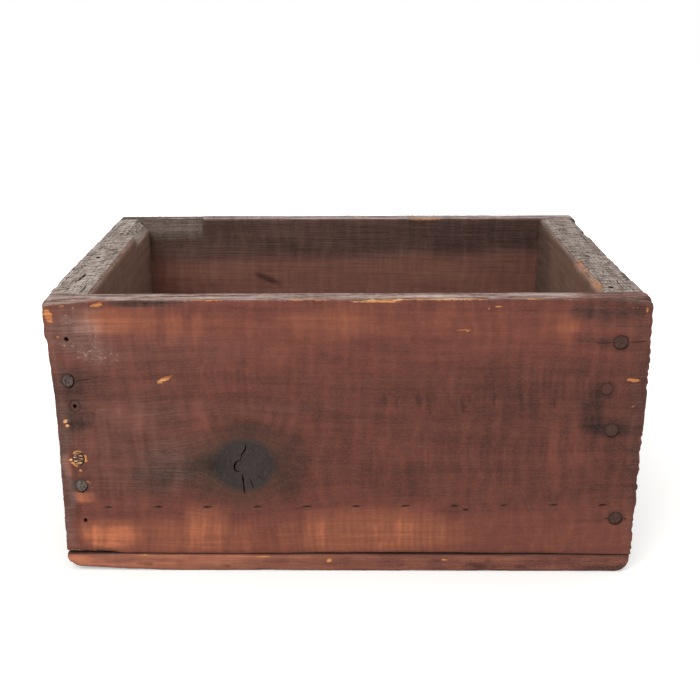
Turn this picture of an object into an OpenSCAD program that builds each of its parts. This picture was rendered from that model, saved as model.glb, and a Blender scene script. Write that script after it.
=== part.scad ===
// Open nailed box of old pine boards, about 13 by 9 by 6 1/2 inches.
// The front and back boards lap the ends of two thicker end boards, and two planks close the bottom.
// Wire nails hold every joint. The lid that was once nailed on is gone, and only its nail holes are left.
// The origin is the middle of the underside. X runs along the front, Y towards the back, Z up.

/* [Boards] */
// Length of the front and back boards
box_w = 328; // [294:1:364]
// Depth over the front and back boards
box_d = 222; // [205:1:260]
// Height of the four sides at the left end of the box
side_h = 151; // [141:1:180]
// How much higher the sides are at the right end of the box
top_rise = 3.2; // [0:0.2:5]
// Thickness of the front and back boards
face_t = 13; // [11:0.5:18]
// Thickness of the two end boards
end_t = 23; // [20:0.5:26]
// How far the left end board stands back from the ends of the front and back boards
left_inset = 0.5; // [0:0.25:3]
// How far the right end board stands back from the ends of the front and back boards
right_inset = 3.5; // [0:0.25:5]

/* [Bottom] */
// Thickness of the bottom planks
bottom_t = 11; // [9:0.5:14]
// Width of the wide bottom plank, which is at the front
wide_plank_d = 152; // [130:1:165]
// Gap that has opened between the two bottom planks
plank_gap = 0.6; // [0.3:0.1:1.5]
// How far the bottom planks stop short of the left ends of the front and back boards
plank_left_inset = 3.25; // [0.5:0.25:5]
// How far the bottom planks stop short of the right ends of the front and back boards
plank_right_inset = 1; // [0.5:0.25:4]

/* [Side nails] */
// Radius of the head of a side nail
side_head_r = 3.9; // [3.4:0.1:4.4]
// Thickness of the head of a side nail
side_head_t = 1.1; // [0.8:0.1:1.6]
// Radius of the shank of a side nail
side_shank_r = 1.45; // [1.2:0.05:1.6]
// Length of a side nail
side_nail_len = 60; // [50:1:70]

/* [Bottom nails] */
// Radius of the head of a bottom nail
bottom_head_r = 3.2; // [2.8:0.1:3.6]
// Thickness of the head of a bottom nail
bottom_head_t = 1; // [0.8:0.1:1.4]
// Radius of the shank of a bottom nail
bottom_shank_r = 1.25; // [1:0.05:1.4]
// Length of a bottom nail
bottom_nail_len = 38; // [32:1:40]
// Distance of the outermost bottom nails of a plank from its edges and from the sides it closes
bottom_nail_margin = 14; // [10:1:18]
// Distance of the bottom nails in the end boards from the inside of those boards
bottom_nail_inset = 6.5; // [6:0.5:9]

/* [Driving] */
// How far a nail's head is driven below the wood
head_sink = 0.4; // [0.2:0.1:0.8]
// Clearance of the wood around a nail, on the radius
nail_slack = 0.05; // [0.02:0.01:0.1]
// Length of a nail's point
point_len = 4; // [3:0.5:6]
// Radius of the holes that lost nails have left
old_hole_r = 1.1; // [0.8:0.1:1.4]
// Depth of the holes that pulled side nails have left
pulled_hole_depth = 30; // [20:1:40]
// Depth of the holes that the lid's nails have left
lid_hole_depth = 16; // [10:1:18]

/* [Wear] */
// Radius worn on the upper corners of the front and back boards
top_corner_r = 4; // [2:0.5:7]
// Radius worn on the bottom planks' lower left corner
plank_left_r = 8; // [4:0.5:8.5]
// Radius worn on the bottom planks' lower right corner
plank_right_r = 8.5; // [4:0.5:8.5]
// Length of the bevel worn on the front board's upper edge at its left end
left_bevel_len = 34; // [20:1:60]
// Length of the bevel worn on the front board's upper edge at its right end
right_bevel_len = 40; // [20:1:60]
// Depth and width of the two bevels at the ends of the front board
bevel_d = 4.2; // [1:0.2:6]
// How far the left end of the front board is worn away below its upper part
left_wear = 3.6; // [0.5:0.1:5]
// Height of the open seam under the left end of the front board
left_seam = 1.7; // [0.5:0.1:2.5]
// Length of the open seam under the left end of the front board
left_seam_len = 36; // [20:1:50]
// Height of the open seam under the right half of the front board
right_seam = 1.4; // [0.3:0.1:2]
// Radius worn on the upper inside edge of the end boards
end_arris_r = 3; // [1:0.5:5]
// Width of the break in the left end board's inside edge
end_break_w = 8; // [4:0.5:12]
// Depth of the break in the left end board's inside edge
end_break_d = 8; // [4:0.5:12]
// Length of the break in the left end board's inside edge, from the back board forwards
end_break_len = 50; // [20:1:80]
// Width of the break in the back board's inside edge
back_break_w = 4; // [2:0.5:7]
// Depth of the break in the back board's inside edge
back_break_d = 9; // [4:0.5:14]
// Length of the break in the back board's inside edge, from the left end board on
back_break_len = 39; // [20:1:60]

/* [Hidden] */
$fn = 64;
over = 1;
point_r = 0.2;

inner_y = box_d / 2 - face_t;
seam_y = -box_d / 2 + wide_plank_d;
narrow_plank_d = box_d - wide_plank_d - plank_gap;
plank_w = box_w - plank_left_inset - plank_right_inset;

// Side nails by corner: place from the middle of the end board outwards, as a share of its thickness,
// and height, as a share of the sides' height
front_left_nails = [[0.076, 0.698], [-0.039, 0.392], [-0.063, 0.282]];
front_right_nails = [[-0.096, 0.855], [-0.32, 0.677], [-0.129, 0.515], [0.167, 0.156]];
back_left_nails = [[-0.05, 0.86], [0.05, 0.63], [-0.09, 0.41], [0, 0.2]];
back_right_nails = [[0.09, 0.87], [0, 0.65], [0.13, 0.4], [0.05, 0.22]];
// Holes that pulled side nails have left, placed the same way, and the one with its head's print
pulled_nails = [[0.009, 0.857], [-0.048, 0.601], [-0.11, 0.142]];
printed_hole = 1;
print_depth = 0.5;
// Lid nail holes: place from the middle of the end board outwards, as a share of its thickness,
// and place behind the front board, as a share of the end board's length
left_lid_nails = [[-0.026, 0.76], [0.052, 0.42]];
right_lid_nails = [[-0.078, 0.42], [-0.2, 0.05]];

// Bends of the worn outline of the front board, as shares of its length and of its height
right_seam_shares = [0.34, 0.5, 0.9, 0.98];
left_wear_shares = [0.68, 0.86];
left_seam_share = 0.8;

// Side is -1 at the left and 1 at the right
function end_outer(side) = box_w / 2 - (side < 0 ? left_inset : right_inset);
function end_inner(side) = end_outer(side) - end_t;
function end_place(side, share) = end_outer(side) + end_t * (share - 0.5);
// Height of the box's sloping top at a place along it
function top_at(x) = bottom_t + side_h + top_rise * (x / box_w + 0.5);
// A number of places spread evenly from one place to another
function spread(first, last, count) = [for (i = [0 : count - 1]) first + i * (last - first) / (count - 1)];

// Places of the bottom nails along the front and back boards, and along the end boards
bottom_row_x = spread(-end_inner(-1) + 2 * bottom_nail_margin, end_inner(1) - 2 * bottom_nail_margin, 4);
wide_plank_row_y = spread(-inner_y + bottom_nail_margin, seam_y - bottom_nail_margin, 3);
narrow_plank_row_y = spread(seam_y + plank_gap + bottom_nail_margin, inner_y - bottom_nail_margin, 2);
bottom_row_y = concat(wide_plank_row_y, narrow_plank_row_y);
face_middle_y = box_d / 2 - face_t / 2;

// A wire nail along +Z, with the outside of its head at the origin
module nail(head_r, head_t, shank_r, length) {
    color("#4a4340") {
        cylinder(h = head_t, r = head_r);
        translate([0, 0, head_t]) cylinder(h = length - head_t - point_len, r = shank_r);
        translate([0, 0, length - point_len]) cylinder(h = point_len, r1 = shank_r, r2 = point_r);
    }
}

// The space that a nail takes in the wood, with the dent over its sunk head
module nail_space(head_r, head_t, shank_r, length) {
    translate([0, 0, -head_sink - over])
        cylinder(h = head_sink + over + head_t + nail_slack, r = head_r + nail_slack);
    cylinder(h = length - point_len + nail_slack, r = shank_r + nail_slack);
    translate([0, 0, length - point_len])
        cylinder(h = point_len + nail_slack, r1 = shank_r + nail_slack, r2 = point_r + nail_slack);
}

module side_nail() {
    nail(side_head_r, side_head_t, side_shank_r, side_nail_len);
}

module side_nail_space() {
    nail_space(side_head_r, side_head_t, side_shank_r, side_nail_len);
}

module bottom_nail() {
    nail(bottom_head_r, bottom_head_t, bottom_shank_r, bottom_nail_len);
}

module bottom_nail_space() {
    nail_space(bottom_head_r, bottom_head_t, bottom_shank_r, bottom_nail_len);
}

// Puts its child where a nail goes in through the front or the back board
module through_front(side, place) {
    translate([side * end_place(side, place[0]), -box_d / 2 + head_sink, bottom_t + place[1] * side_h])
        rotate([-90, 0, 0]) children();
}

module through_back(side, place) {
    translate([side * end_place(side, place[0]), box_d / 2 - head_sink, bottom_t + place[1] * side_h])
        rotate([90, 0, 0]) children();
}

// Puts its child where a nail goes up through the bottom, into a face board or an end board
module under_face(side, x) {
    translate([x, side * face_middle_y, head_sink]) children();
}

module under_end(side, y) {
    translate([side * (end_inner(side) + bottom_nail_inset), y, head_sink]) children();
}

module front_nail_spaces() {
    for (place = front_left_nails) through_front(-1, place) side_nail_space();
    for (place = front_right_nails) through_front(1, place) side_nail_space();
}

module back_nail_spaces() {
    for (place = back_left_nails) through_back(-1, place) side_nail_space();
    for (place = back_right_nails) through_back(1, place) side_nail_space();
}

module bottom_nail_spaces() {
    for (side = [-1, 1]) {
        for (x = bottom_row_x) under_face(side, x) bottom_nail_space();
        for (y = bottom_row_y) under_end(side, y) bottom_nail_space();
    }
}

// Holes that the pulled side nails left, with one head's print
module pulled_nail_holes() {
    for (place = pulled_nails)
        through_front(-1, place)
            translate([0, 0, -head_sink - over]) cylinder(h = pulled_hole_depth + over, r = old_hole_r);
    through_front(-1, pulled_nails[printed_hole])
        translate([0, 0, -head_sink - over]) cylinder(h = print_depth + over, r = side_head_r);
}

module lid_nail_holes(side, places) {
    for (place = places) {
        x = side * end_place(side, place[0]);
        translate([x, inner_y * (2 * place[1] - 1), top_at(x) - lid_hole_depth])
            cylinder(h = lid_hole_depth + over, r = old_hole_r);
    }
}

// What a worn corner of radius r takes from a square corner at the origin
module corner_wear(r) {
    difference() {
        translate([-over, -over]) square(r + over);
        translate([r, r]) circle(r);
    }
}

// What the two worn upper corners take from a board's outline
module top_corner_wear() {
    translate([0, side_h]) rotate(-90) corner_wear(top_corner_r);
    translate([box_w, side_h + top_rise]) rotate(180) corner_wear(top_corner_r);
}

// What is beyond the plane that a bevel leaves at an end of the front board's upper edge
module bevel_waste(side, length) {
    normal = [side * bevel_d / length, -1, 1];
    reach = 2 * length;
    translate([side * (box_w / 2 - length), -box_d / 2, top_at(side * (box_w / 2 - length))])
        rotate([0, acos(normal[2] / norm(normal)), atan2(normal[1], normal[0])])
            translate([-reach, -reach, 0]) cube([2 * reach, 2 * reach, reach]);
}

// What a sloping break takes from an upper edge at the origin, whose board lies towards -X
module edge_break(w, d) {
    polygon([[over, over], [-w, over], [-w, 0], [0, -d], [over, -d]]);
}

// The front board's outline over the plank, worn at its left end and open along its lower edge
module front_outline() {
    difference() {
        polygon([
            [left_wear, left_seam],
            [left_seam_len * left_seam_share, left_seam * left_seam_share],
            [left_seam_len, 0],
            [box_w * right_seam_shares[0], 0],
            [box_w * right_seam_shares[1], right_seam],
            [box_w * right_seam_shares[2], right_seam],
            [box_w * right_seam_shares[3], 0],
            [box_w, 0],
            [box_w, side_h + top_rise],
            [0, side_h],
            [0, side_h * left_wear_shares[1]],
            [left_wear, side_h * left_wear_shares[0]]
        ]);
        top_corner_wear();
    }
}

module front_board() {
    color("#7c4a3a") difference() {
        translate([-box_w / 2, -inner_y, bottom_t])
            rotate([90, 0, 0]) linear_extrude(face_t) front_outline();
        bevel_waste(-1, left_bevel_len);
        bevel_waste(1, right_bevel_len);
        front_nail_spaces();
        bottom_nail_spaces();
        pulled_nail_holes();
    }
}

// The back board, whose upper inside edge is broken away beside the left end board
module back_board() {
    color("#6a4437") difference() {
        translate([-box_w / 2, box_d / 2, bottom_t])
            rotate([90, 0, 0]) linear_extrude(face_t) difference() {
                polygon([[0, 0], [box_w, 0], [box_w, side_h + top_rise], [0, side_h]]);
                top_corner_wear();
            }
        back_nail_spaces();
        bottom_nail_spaces();
        translate([-end_inner(-1), inner_y, top_at(-end_inner(-1))])
            rotate([90, 0, 90]) linear_extrude(back_break_len)
                mirror([1, 0]) edge_break(back_break_w, back_break_d);
    }
}

// An end board between the front and back boards, as the left one lies, with its inside edge worn round
module end_blank(side) {
    translate([-end_outer(side), inner_y, bottom_t])
        rotate([90, 0, 0]) linear_extrude(2 * inner_y) difference() {
            polygon([
                [0, 0],
                [end_t, 0],
                [end_t, top_at(side * end_inner(side)) - bottom_t],
                [0, top_at(side * end_outer(side)) - bottom_t]
            ]);
            translate([end_t, top_at(side * end_inner(side)) - bottom_t])
                rotate(180) corner_wear(end_arris_r);
        }
}

// The left end board, whose inside edge is broken away at the back
module left_end_board() {
    color("#715043") difference() {
        end_blank(-1);
        front_nail_spaces();
        back_nail_spaces();
        bottom_nail_spaces();
        pulled_nail_holes();
        lid_nail_holes(-1, left_lid_nails);
        translate([-end_inner(-1), inner_y + over, top_at(-end_inner(-1))])
            rotate([90, 0, 0]) linear_extrude(end_break_len + over) edge_break(end_break_w, end_break_d);
    }
}

module right_end_board() {
    color("#715043") difference() {
        mirror([1, 0, 0]) end_blank(1);
        front_nail_spaces();
        back_nail_spaces();
        bottom_nail_spaces();
        lid_nail_holes(1, right_lid_nails);
    }
}

// A bottom plank that reaches back from y, with its lower corners worn round
module plank(y, depth) {
    difference() {
        translate([-box_w / 2 + plank_left_inset, y + depth, 0])
            rotate([90, 0, 0]) linear_extrude(depth) difference() {
                square([plank_w, bottom_t]);
                corner_wear(plank_left_r);
                translate([plank_w, 0]) rotate(90) corner_wear(plank_right_r);
            }
        bottom_nail_spaces();
    }
}

module bottom_wide_plank() {
    color("#80503c") plank(-box_d / 2, wide_plank_d);
}

module bottom_narrow_plank() {
    color("#7a4d3b") plank(seam_y + plank_gap, narrow_plank_d);
}

front_board();
back_board();
left_end_board();
right_end_board();
bottom_wide_plank();
bottom_narrow_plank();
for (i = [0 : len(front_left_nails) - 1])
    through_front(-1, front_left_nails[i]) side_nail();
for (i = [0 : len(front_right_nails) - 1])
    through_front(1, front_right_nails[i]) side_nail();
for (i = [0 : len(back_left_nails) - 1])
    through_back(-1, back_left_nails[i]) side_nail();
for (i = [0 : len(back_right_nails) - 1])
    through_back(1, back_right_nails[i]) side_nail();
for (i = [0 : len(bottom_row_x) - 1])
    under_face(-1, bottom_row_x[i]) bottom_nail();
for (i = [0 : len(bottom_row_x) - 1])
    under_face(1, bottom_row_x[i]) bottom_nail();
for (i = [0 : len(bottom_row_y) - 1])
    under_end(-1, bottom_row_y[i]) bottom_nail();
for (i = [0 : len(bottom_row_y) - 1])
    under_end(1, bottom_row_y[i]) bottom_nail();
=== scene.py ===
"""Looks of an open nailed box of old pine boards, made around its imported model.

The boards are worked in millimetres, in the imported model's frame, and become metres when their mesh is made.
"""
import itertools
import math

import bpy
import numpy as np
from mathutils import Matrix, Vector
from mathutils.geometry import delaunay_2d_cdt


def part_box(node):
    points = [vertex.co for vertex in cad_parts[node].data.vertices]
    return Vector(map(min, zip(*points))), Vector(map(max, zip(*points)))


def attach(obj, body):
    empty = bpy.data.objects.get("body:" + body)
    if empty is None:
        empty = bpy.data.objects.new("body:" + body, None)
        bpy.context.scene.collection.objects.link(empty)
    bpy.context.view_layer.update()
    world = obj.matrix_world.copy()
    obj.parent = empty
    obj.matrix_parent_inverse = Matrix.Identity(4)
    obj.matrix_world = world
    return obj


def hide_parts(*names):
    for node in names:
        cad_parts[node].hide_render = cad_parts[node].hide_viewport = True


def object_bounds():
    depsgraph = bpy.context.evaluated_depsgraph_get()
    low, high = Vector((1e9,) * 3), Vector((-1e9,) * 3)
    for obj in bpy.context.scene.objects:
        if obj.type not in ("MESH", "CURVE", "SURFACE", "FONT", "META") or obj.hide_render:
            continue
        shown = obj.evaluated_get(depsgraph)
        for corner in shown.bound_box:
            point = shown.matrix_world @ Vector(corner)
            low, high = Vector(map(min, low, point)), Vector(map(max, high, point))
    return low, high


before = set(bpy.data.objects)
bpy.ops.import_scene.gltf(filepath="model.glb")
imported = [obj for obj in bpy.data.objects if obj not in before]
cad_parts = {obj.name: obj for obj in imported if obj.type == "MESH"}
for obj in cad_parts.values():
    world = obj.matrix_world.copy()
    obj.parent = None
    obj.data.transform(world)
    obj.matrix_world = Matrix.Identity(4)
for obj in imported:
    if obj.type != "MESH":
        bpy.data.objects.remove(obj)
CAD_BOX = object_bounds()
MM = 0.001

# The upper edges of the four sides rise from left to right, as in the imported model. In mm
BOTTOM_T, LEFT_HEIGHT, RISE = 11, 151, 3.2
BOX_W = (CAD_BOX[1][0] - CAD_BOX[0][0]) / MM
TILT = math.atan2(RISE, BOX_W)
# Marks on the front are placed along its upper edge: mm from its left end, and mm up at a right angle to it
MARKS_START = np.array([-161.2, -1.05])


def top_at(x):
    """Height of the sides' upper edges at a place along the box."""
    return BOTTOM_T + LEFT_HEIGHT + RISE * (x / BOX_W + 0.5)


def on_front(marks):
    """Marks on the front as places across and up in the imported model's frame."""
    u, v = np.array(marks, float).T
    cos, sin = math.cos(TILT), math.sin(TILT)
    return np.stack([u * cos - v * sin, u * sin + v * cos], -1) + MARKS_START


def along_front(x, z):
    """The other way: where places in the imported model's frame lie along the front's upper edge."""
    x, z = x - MARKS_START[0], z - MARKS_START[1]
    cos, sin = math.cos(TILT), math.sin(TILT)
    return x * cos + z * sin, z * cos - x * sin


# Small tools for places, noise and colour

def box_mm(name):
    """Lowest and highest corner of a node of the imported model."""
    return [np.array(corner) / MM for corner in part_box(name)]


def smooth(start, end, value):
    """0 before start, 1 after end, and an even curve between them."""
    share = np.clip((value - start) / (end - start), 0, 1)
    return share * share * (3 - 2 * share)


def chance(cells, seed):
    """A repeatable number from 0 to 1 for each whole-numbered cell."""
    key = cells.astype(np.int64) @ np.array([73856093, 19349663, 83492791]) + seed * 2654435761
    key = (key & 0xFFFFFFFF).astype(np.uint64)
    for factor, shift in ((2246822519, 15), (3266489917, 13), (668265263, 16)):
        key = ((key ^ (key >> np.uint64(shift))) * np.uint64(factor)) & np.uint64(0xFFFFFFFF)
    return key.astype(float) / 0xFFFFFFFF


def noise(places, size, seed, octaves=1):
    """Smooth noise from -1 to 1, with bumps as long as size along each axis."""
    scaled = places / np.broadcast_to(np.asarray(size, float), 3)
    total = np.zeros(len(places))
    weight = 0
    for octave in range(octaves):
        spot = scaled * 2 ** octave + 31.7 * octave
        cell = np.floor(spot)
        share = spot - cell
        share = share * share * (3 - 2 * share)
        value = np.zeros(len(places))
        for corner in itertools.product((0, 1), repeat=3):
            part = np.prod(np.where(corner, share, 1 - share), axis=1)
            value += part * chance(cell + corner, seed + octave)
        total += (2 * value - 1) * 0.5 ** octave
        weight += 0.5 ** octave
    return total / weight


def linear(code):
    """A hex sRGB colour as the linear colour that Blender's sockets hold."""
    parts = [int(code[i:i + 2], 16) / 255 for i in (1, 3, 5)]
    return (*[c / 12.92 if c <= 0.04045 else ((c + 0.055) / 1.055) ** 2.4 for c in parts], 1)


# Openings in a board's face

def pit(u, v, radius, depth, rough=0.06, floor=0.85, seed=0, count=24, shape=(1, 1)):
    """A round or oval hole with a ragged rim and a floor: its rings from the surface down."""
    turn = np.arange(count) * 2 * np.pi / count
    rim = np.stack([np.cos(turn), np.sin(turn)], 1) * shape
    ragged = 1 + rough * noise(np.stack([*(rim.T * 3), np.full(count, seed * 5.1)], 1), 1, seed, 2)
    rim = rim * ragged[:, None] * radius
    rings = [(rim + (u, v), 0), (rim * (1 + floor) / 2 + (u, v), depth * 0.5), (rim * floor + (u, v), depth)]
    return {"rings": rings, "line": False}


def crack(path, width, depth, seed=0):
    """A crack along a path of points, open to its full width in the middle and closed at both ends."""
    path = np.array(path, float)
    steps = np.concatenate([[0], np.cumsum(np.hypot(*np.diff(path, axis=0).T))])
    count = max(6, int(steps[-1] / 0.7))
    at = np.linspace(0, steps[-1], count)
    middle = np.stack([np.interp(at, steps, path[:, k]) for k in (0, 1)], 1)
    along = np.gradient(middle, axis=0)
    left = np.stack([-along[:, 1], along[:, 0]], 1) / np.hypot(*along.T)[:, None]
    sway = noise(np.stack([at, at * 0, at * 0], 1), 2.5, seed, 2)
    middle[1:-1] += left[1:-1] * (0.35 * width * sway)[1:-1, None]
    share = np.sin(np.pi * np.linspace(0, 1, count)) ** 0.6
    half = 0.5 * width * share * (1 + 0.35 * noise(np.stack([at, at * 0 + 9, at * 0], 1), 1.8, seed + 3))
    half = np.maximum(half, 0.08)
    right_side = middle - left * half[:, None]
    left_side = middle + left * half[:, None]
    rim = np.concatenate([middle[:1], right_side[1:-1], middle[-1:], left_side[-2:0:-1]])
    base = np.concatenate([middle, middle[-2:0:-1]])
    sunk = np.concatenate([share, share[-2:0:-1]]) * depth + 0.15
    return {"rings": [(rim, 0), (base + (rim - base) * 0.25, sunk)], "line": True}


def within(points, outline):
    """Whether each point lies inside a closed outline."""
    inside = np.zeros(len(points), bool)
    for (ax, ay), (bx, by) in zip(outline, np.roll(outline, -1, 0)):
        crosses = (ay > points[:, 1]) != (by > points[:, 1])
        slope = np.where(by == ay, 1, by - ay)
        inside ^= crosses & (points[:, 0] < ax + (points[:, 1] - ay) * (bx - ax) / slope)
    return inside


# Places on a board's face, from which its triangles are made

# In mm: two rows of places beside the rim of an opening, and what stays free next to rims and edges
RIM_ROWS = (0.45, 1.05)
RIM_GAP, EDGE_GAP = 0.3, 0.35


def in_plane(spots, axis, level):
    """Places at one level along an axis, from their numbers along the two other axes."""
    return np.insert(np.asarray(spots, float), axis, level, axis=1)


def beside(rim):
    """Two rows of places around a rim, the outer one with half as many."""
    tangent = np.roll(rim, -1, 0) - np.roll(rim, 1, 0)
    normal = np.stack([tangent[:, 1], -tangent[:, 0]], 1) / np.hypot(*tangent.T)[:, None]
    near, far = RIM_ROWS
    return [rim + normal * near, rim[::2] + normal[::2] * far]


def clear_of(rim, spots):
    """The spots that lie outside a rim and not too close to it."""
    near = ((spots > rim.min(0) - 2) & (spots < rim.max(0) + 2)).all(1)
    close = spots[near]
    gap = np.hypot(*(close[:, None] - rim[None]).transpose(2, 0, 1)).min(1)
    bad = (gap < RIM_GAP) | within(close, rim)
    return np.delete(spots, np.flatnonzero(near)[bad], axis=0)


def shaken_grids(zones, random):
    """Rows of places that are shaken a little, for zones (start, end, pitch). Later zones go over earlier."""
    grids = []
    for index, (start, end, step) in enumerate(zones):
        step = np.broadcast_to(np.asarray(step, float), 2)
        counts = np.maximum(2, np.round((end - start) / step)).astype(int)
        grid = np.stack(np.meshgrid(*[np.arange(n) + 0.5 for n in counts], indexing="ij"), -1)
        grid = grid.reshape(-1, 2) + random.uniform(-0.3, 0.3, (counts.prod(), 2))
        grid = start + grid * (end - start) / counts
        for later_start, later_end, _ in zones[index + 1:]:
            grid = grid[~((grid > later_start) & (grid < later_end)).all(1)]
        grids.append(grid)
    return grids


# Slivers of torn wood, by material slot: start, end, and how fresh the wood is
SLIVERS = {"face_board": [], "end_board": []}
# Distance between year rings, in mm
RING_PITCH = 2.7


class Board:
    """A board as one closed mesh. It starts square, gets its sloping top, and wear is then taken off it."""

    def __init__(self, node, along, across, seed, edge_pitch=1.0):
        self.low, self.high = box_mm(node)
        self.sloping = node.endswith("board")
        if self.sloping:
            self.high[2] = top_at(self.high[0])
        self.along = along
        self.across = across
        self.through = 3 - along - across
        self.seed = seed
        self.places = []
        self.facing = []
        self.faces = []
        self.corners = {}
        self.edges = {}
        random = np.random.default_rng(seed)
        for sides in itertools.product((0, 1), repeat=3):
            place = [(self.low, self.high)[side][axis] for axis, side in enumerate(sides)]
            self.corners[sides] = self.keep([place])[0]
        for axis in range(3):
            count = max(2, round((self.high - self.low)[axis] / edge_pitch))
            shares = np.arange(1, count) / count
            for others in itertools.product((0, 1), repeat=2):
                ends = [tuple(np.insert(others, axis, side)) for side in (0, 1)]
                first, last = (self.places[self.corners[end]] for end in ends)
                shifted = shares + random.uniform(-0.25, 0.25, count - 1) / count
                inner = self.keep(first + (last - first) * shifted[:, None])
                self.edges[axis, others] = [self.corners[ends[0]], *inner, self.corners[ends[1]]]

    def keep(self, places, facing=(0, 0, 0)):
        """Adds places to the mesh and returns their numbers. Facing is set only in openings."""
        start = len(self.places)
        self.places.extend(np.asarray(places, float))
        self.facing.extend([facing] * len(places))
        return list(range(start, len(self.places)))

    def slope(self, places, back=False):
        """Gives places on the square board its sloping top, or takes it back."""
        moved = np.array(places, float)
        if self.sloping:
            share = (top_at(moved[:, 0]) - self.low[2]) / (self.high[2] - self.low[2])
            moved[:, 2] = self.low[2] + (moved[:, 2] - self.low[2]) * (1 / share if back else share)
        return moved

    def squared(self, opening, axis, level):
        """An opening whose rings lie as they do while the board is still square."""
        rings = [(np.delete(self.slope(in_plane(ring, axis, level), back=True), axis, 1), depth)
                 for ring, depth in opening["rings"]]
        return {**opening, "rings": rings}

    def outline(self, axis, side):
        """Numbers of the mesh's places along the four edges of a face."""
        numbers = []
        for run in range(3):
            if run == axis:
                continue
            for end in (0, 1):
                sides = {axis: side, 3 - axis - run: end}
                numbers += self.edges[run, tuple(sides[k] for k in range(3) if k != run)]
        return sorted(set(numbers))

    def face(self, key, pitch, openings=(), finer=()):
        """Fills one face, such as "-y", with triangles of about one pitch, and cuts its openings.

        Finer lists zones of the face with a pitch of their own: (low, low, high, high, pitch).
        """
        axis = "xyz".index(key[1])
        side = int(key[0] == "+")
        outward = np.eye(3)[axis] * (2 * side - 1)
        others = [k for k in range(3) if k != axis]
        level = (self.low, self.high)[side][axis]
        openings = [self.squared(opening, axis, level) for opening in openings]
        low, high = self.low[others], self.high[others]
        numbers = self.outline(axis, side)
        flat = [np.array([self.places[n][others] for n in numbers])]
        ties = []
        scattered = []
        for opening in openings:
            rim = opening["rings"][0][0]
            opening["ids"] = self.keep(in_plane(rim, axis, level), outward)
            first = len(numbers)
            ties += [(first + i, first + (i + 1) % len(rim)) for i in range(len(rim))]
            numbers += opening["ids"]
            flat.append(rim)
            scattered += beside(rim)
        random = np.random.default_rng(self.seed * 17 + axis * 2 + side)
        zones = [(low, high, pitch)] + [(np.array(z[:2]), np.array(z[2:4]), z[4]) for z in finer]
        spots = np.concatenate(scattered + shaken_grids(zones, random))
        spots = spots[((spots > low + EDGE_GAP) & (spots < high - EDGE_GAP)).all(1)]
        for opening in openings:
            spots = clear_of(opening["rings"][0][0], spots)
        numbers += self.keep(in_plane(spots, axis, level))
        flat = np.concatenate([*flat, spots])
        made = delaunay_2d_cdt([Vector(p) for p in flat], ties, [], 0, 1e-5, True)
        real = [numbers[origins[0]] if origins else self.keep(in_plane([place], axis, level))[0]
                for place, origins in zip(made[0], made[3])]
        owner = {n: k for k, opening in enumerate(openings) for n in opening["ids"]}
        turned = (side == 1) == (axis == 1)
        for triangle in made[2]:
            ids = [real[n] for n in triangle]
            owners = {owner.get(n, -1) for n in ids}
            if len(owners) == 1 and -1 not in owners:
                middle = np.mean([self.places[n][others] for n in ids], axis=0)[None]
                if within(middle, openings[owners.pop()]["rings"][0][0])[0]:
                    continue
            self.faces.append(ids[::-1] if turned else ids)
        for opening in openings:
            self.walls(opening, axis, level, outward, turned)

    def walls(self, opening, axis, level, outward, turned):
        """Closes an opening with walls and a floor."""
        upper = opening["ids"]
        count = len(upper)
        loops = []
        for ring, depth in opening["rings"][1:]:
            lower = self.keep(in_plane(ring, axis, level - outward[axis] * depth), outward)
            loops += [[upper[i], upper[(i + 1) % count], lower[(i + 1) % count], lower[i]]
                      for i in range(count)]
            upper = lower
        if opening["line"]:
            half = count // 2
            loops += [[upper[i], upper[i + 1], upper[(count - i - 1) % count], upper[(count - i) % count]]
                      for i in range(1, half - 1)]
            loops += [[upper[0], upper[1], upper[count - 1]], [upper[half - 1], upper[half], upper[half + 1]]]
        else:
            middle = self.keep([np.mean([self.places[n] for n in upper], axis=0)], outward)[0]
            loops += [[upper[i], upper[(i + 1) % count], middle] for i in range(count)]
        self.faces += [loop[::-1] if turned else loop for loop in loops]

    def finish_shape(self):
        """Turns the lists into arrays, once every face is there."""
        self.square = np.array(self.places)
        self.facing = np.array(self.facing, float)
        self.places = self.slope(self.square)
        self.now = self.places.copy()
        self.normal = self.facing.copy()
        self.opened = np.abs(self.facing).sum(1) > 0
        surface = np.where(self.facing > 0, self.high, self.low)
        self.depth = (np.abs(self.square - surface) * np.abs(self.facing)).sum(1)

    def round_edges(self, usual, special):
        """Wears the edges round. Special gives named edges, such as "-y+z", a radius of their own."""
        weights = np.zeros(len(self.square))
        total = np.zeros(len(self.square))
        for axis in range(3):
            b, c = [k for k in range(3) if k != axis]
            for sides in itertools.product((0, 1), repeat=2):
                name = "-+"[sides[0]] + "xyz"[b] + "-+"[sides[1]] + "xyz"[c]
                lines = [(self.low, self.high)[s][k] for s, k in zip(sides, (b, c))]
                apart = np.abs(self.square[:, [b, c]] - lines).max(1)
                weight = 1 / (apart + 0.4) ** 4
                weights += weight
                total += weight * special.get(name, usual)
        radius = (total / weights)[:, None]
        middle = (self.low + self.high) / 2
        radius = np.minimum(radius, (self.high - self.low).min() * 0.49)
        core = np.where(self.square < middle, np.maximum(self.square, self.low + radius),
                        np.minimum(self.square, self.high - radius))
        apart = self.square - core
        longest = np.abs(apart).max(1)
        length = np.maximum(np.linalg.norm(apart, axis=1), 1e-9)
        self.now = self.slope(core + apart * (longest / length)[:, None])
        outer = ~self.opened
        self.normal[outer] = (apart / length[:, None])[outer]

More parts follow.
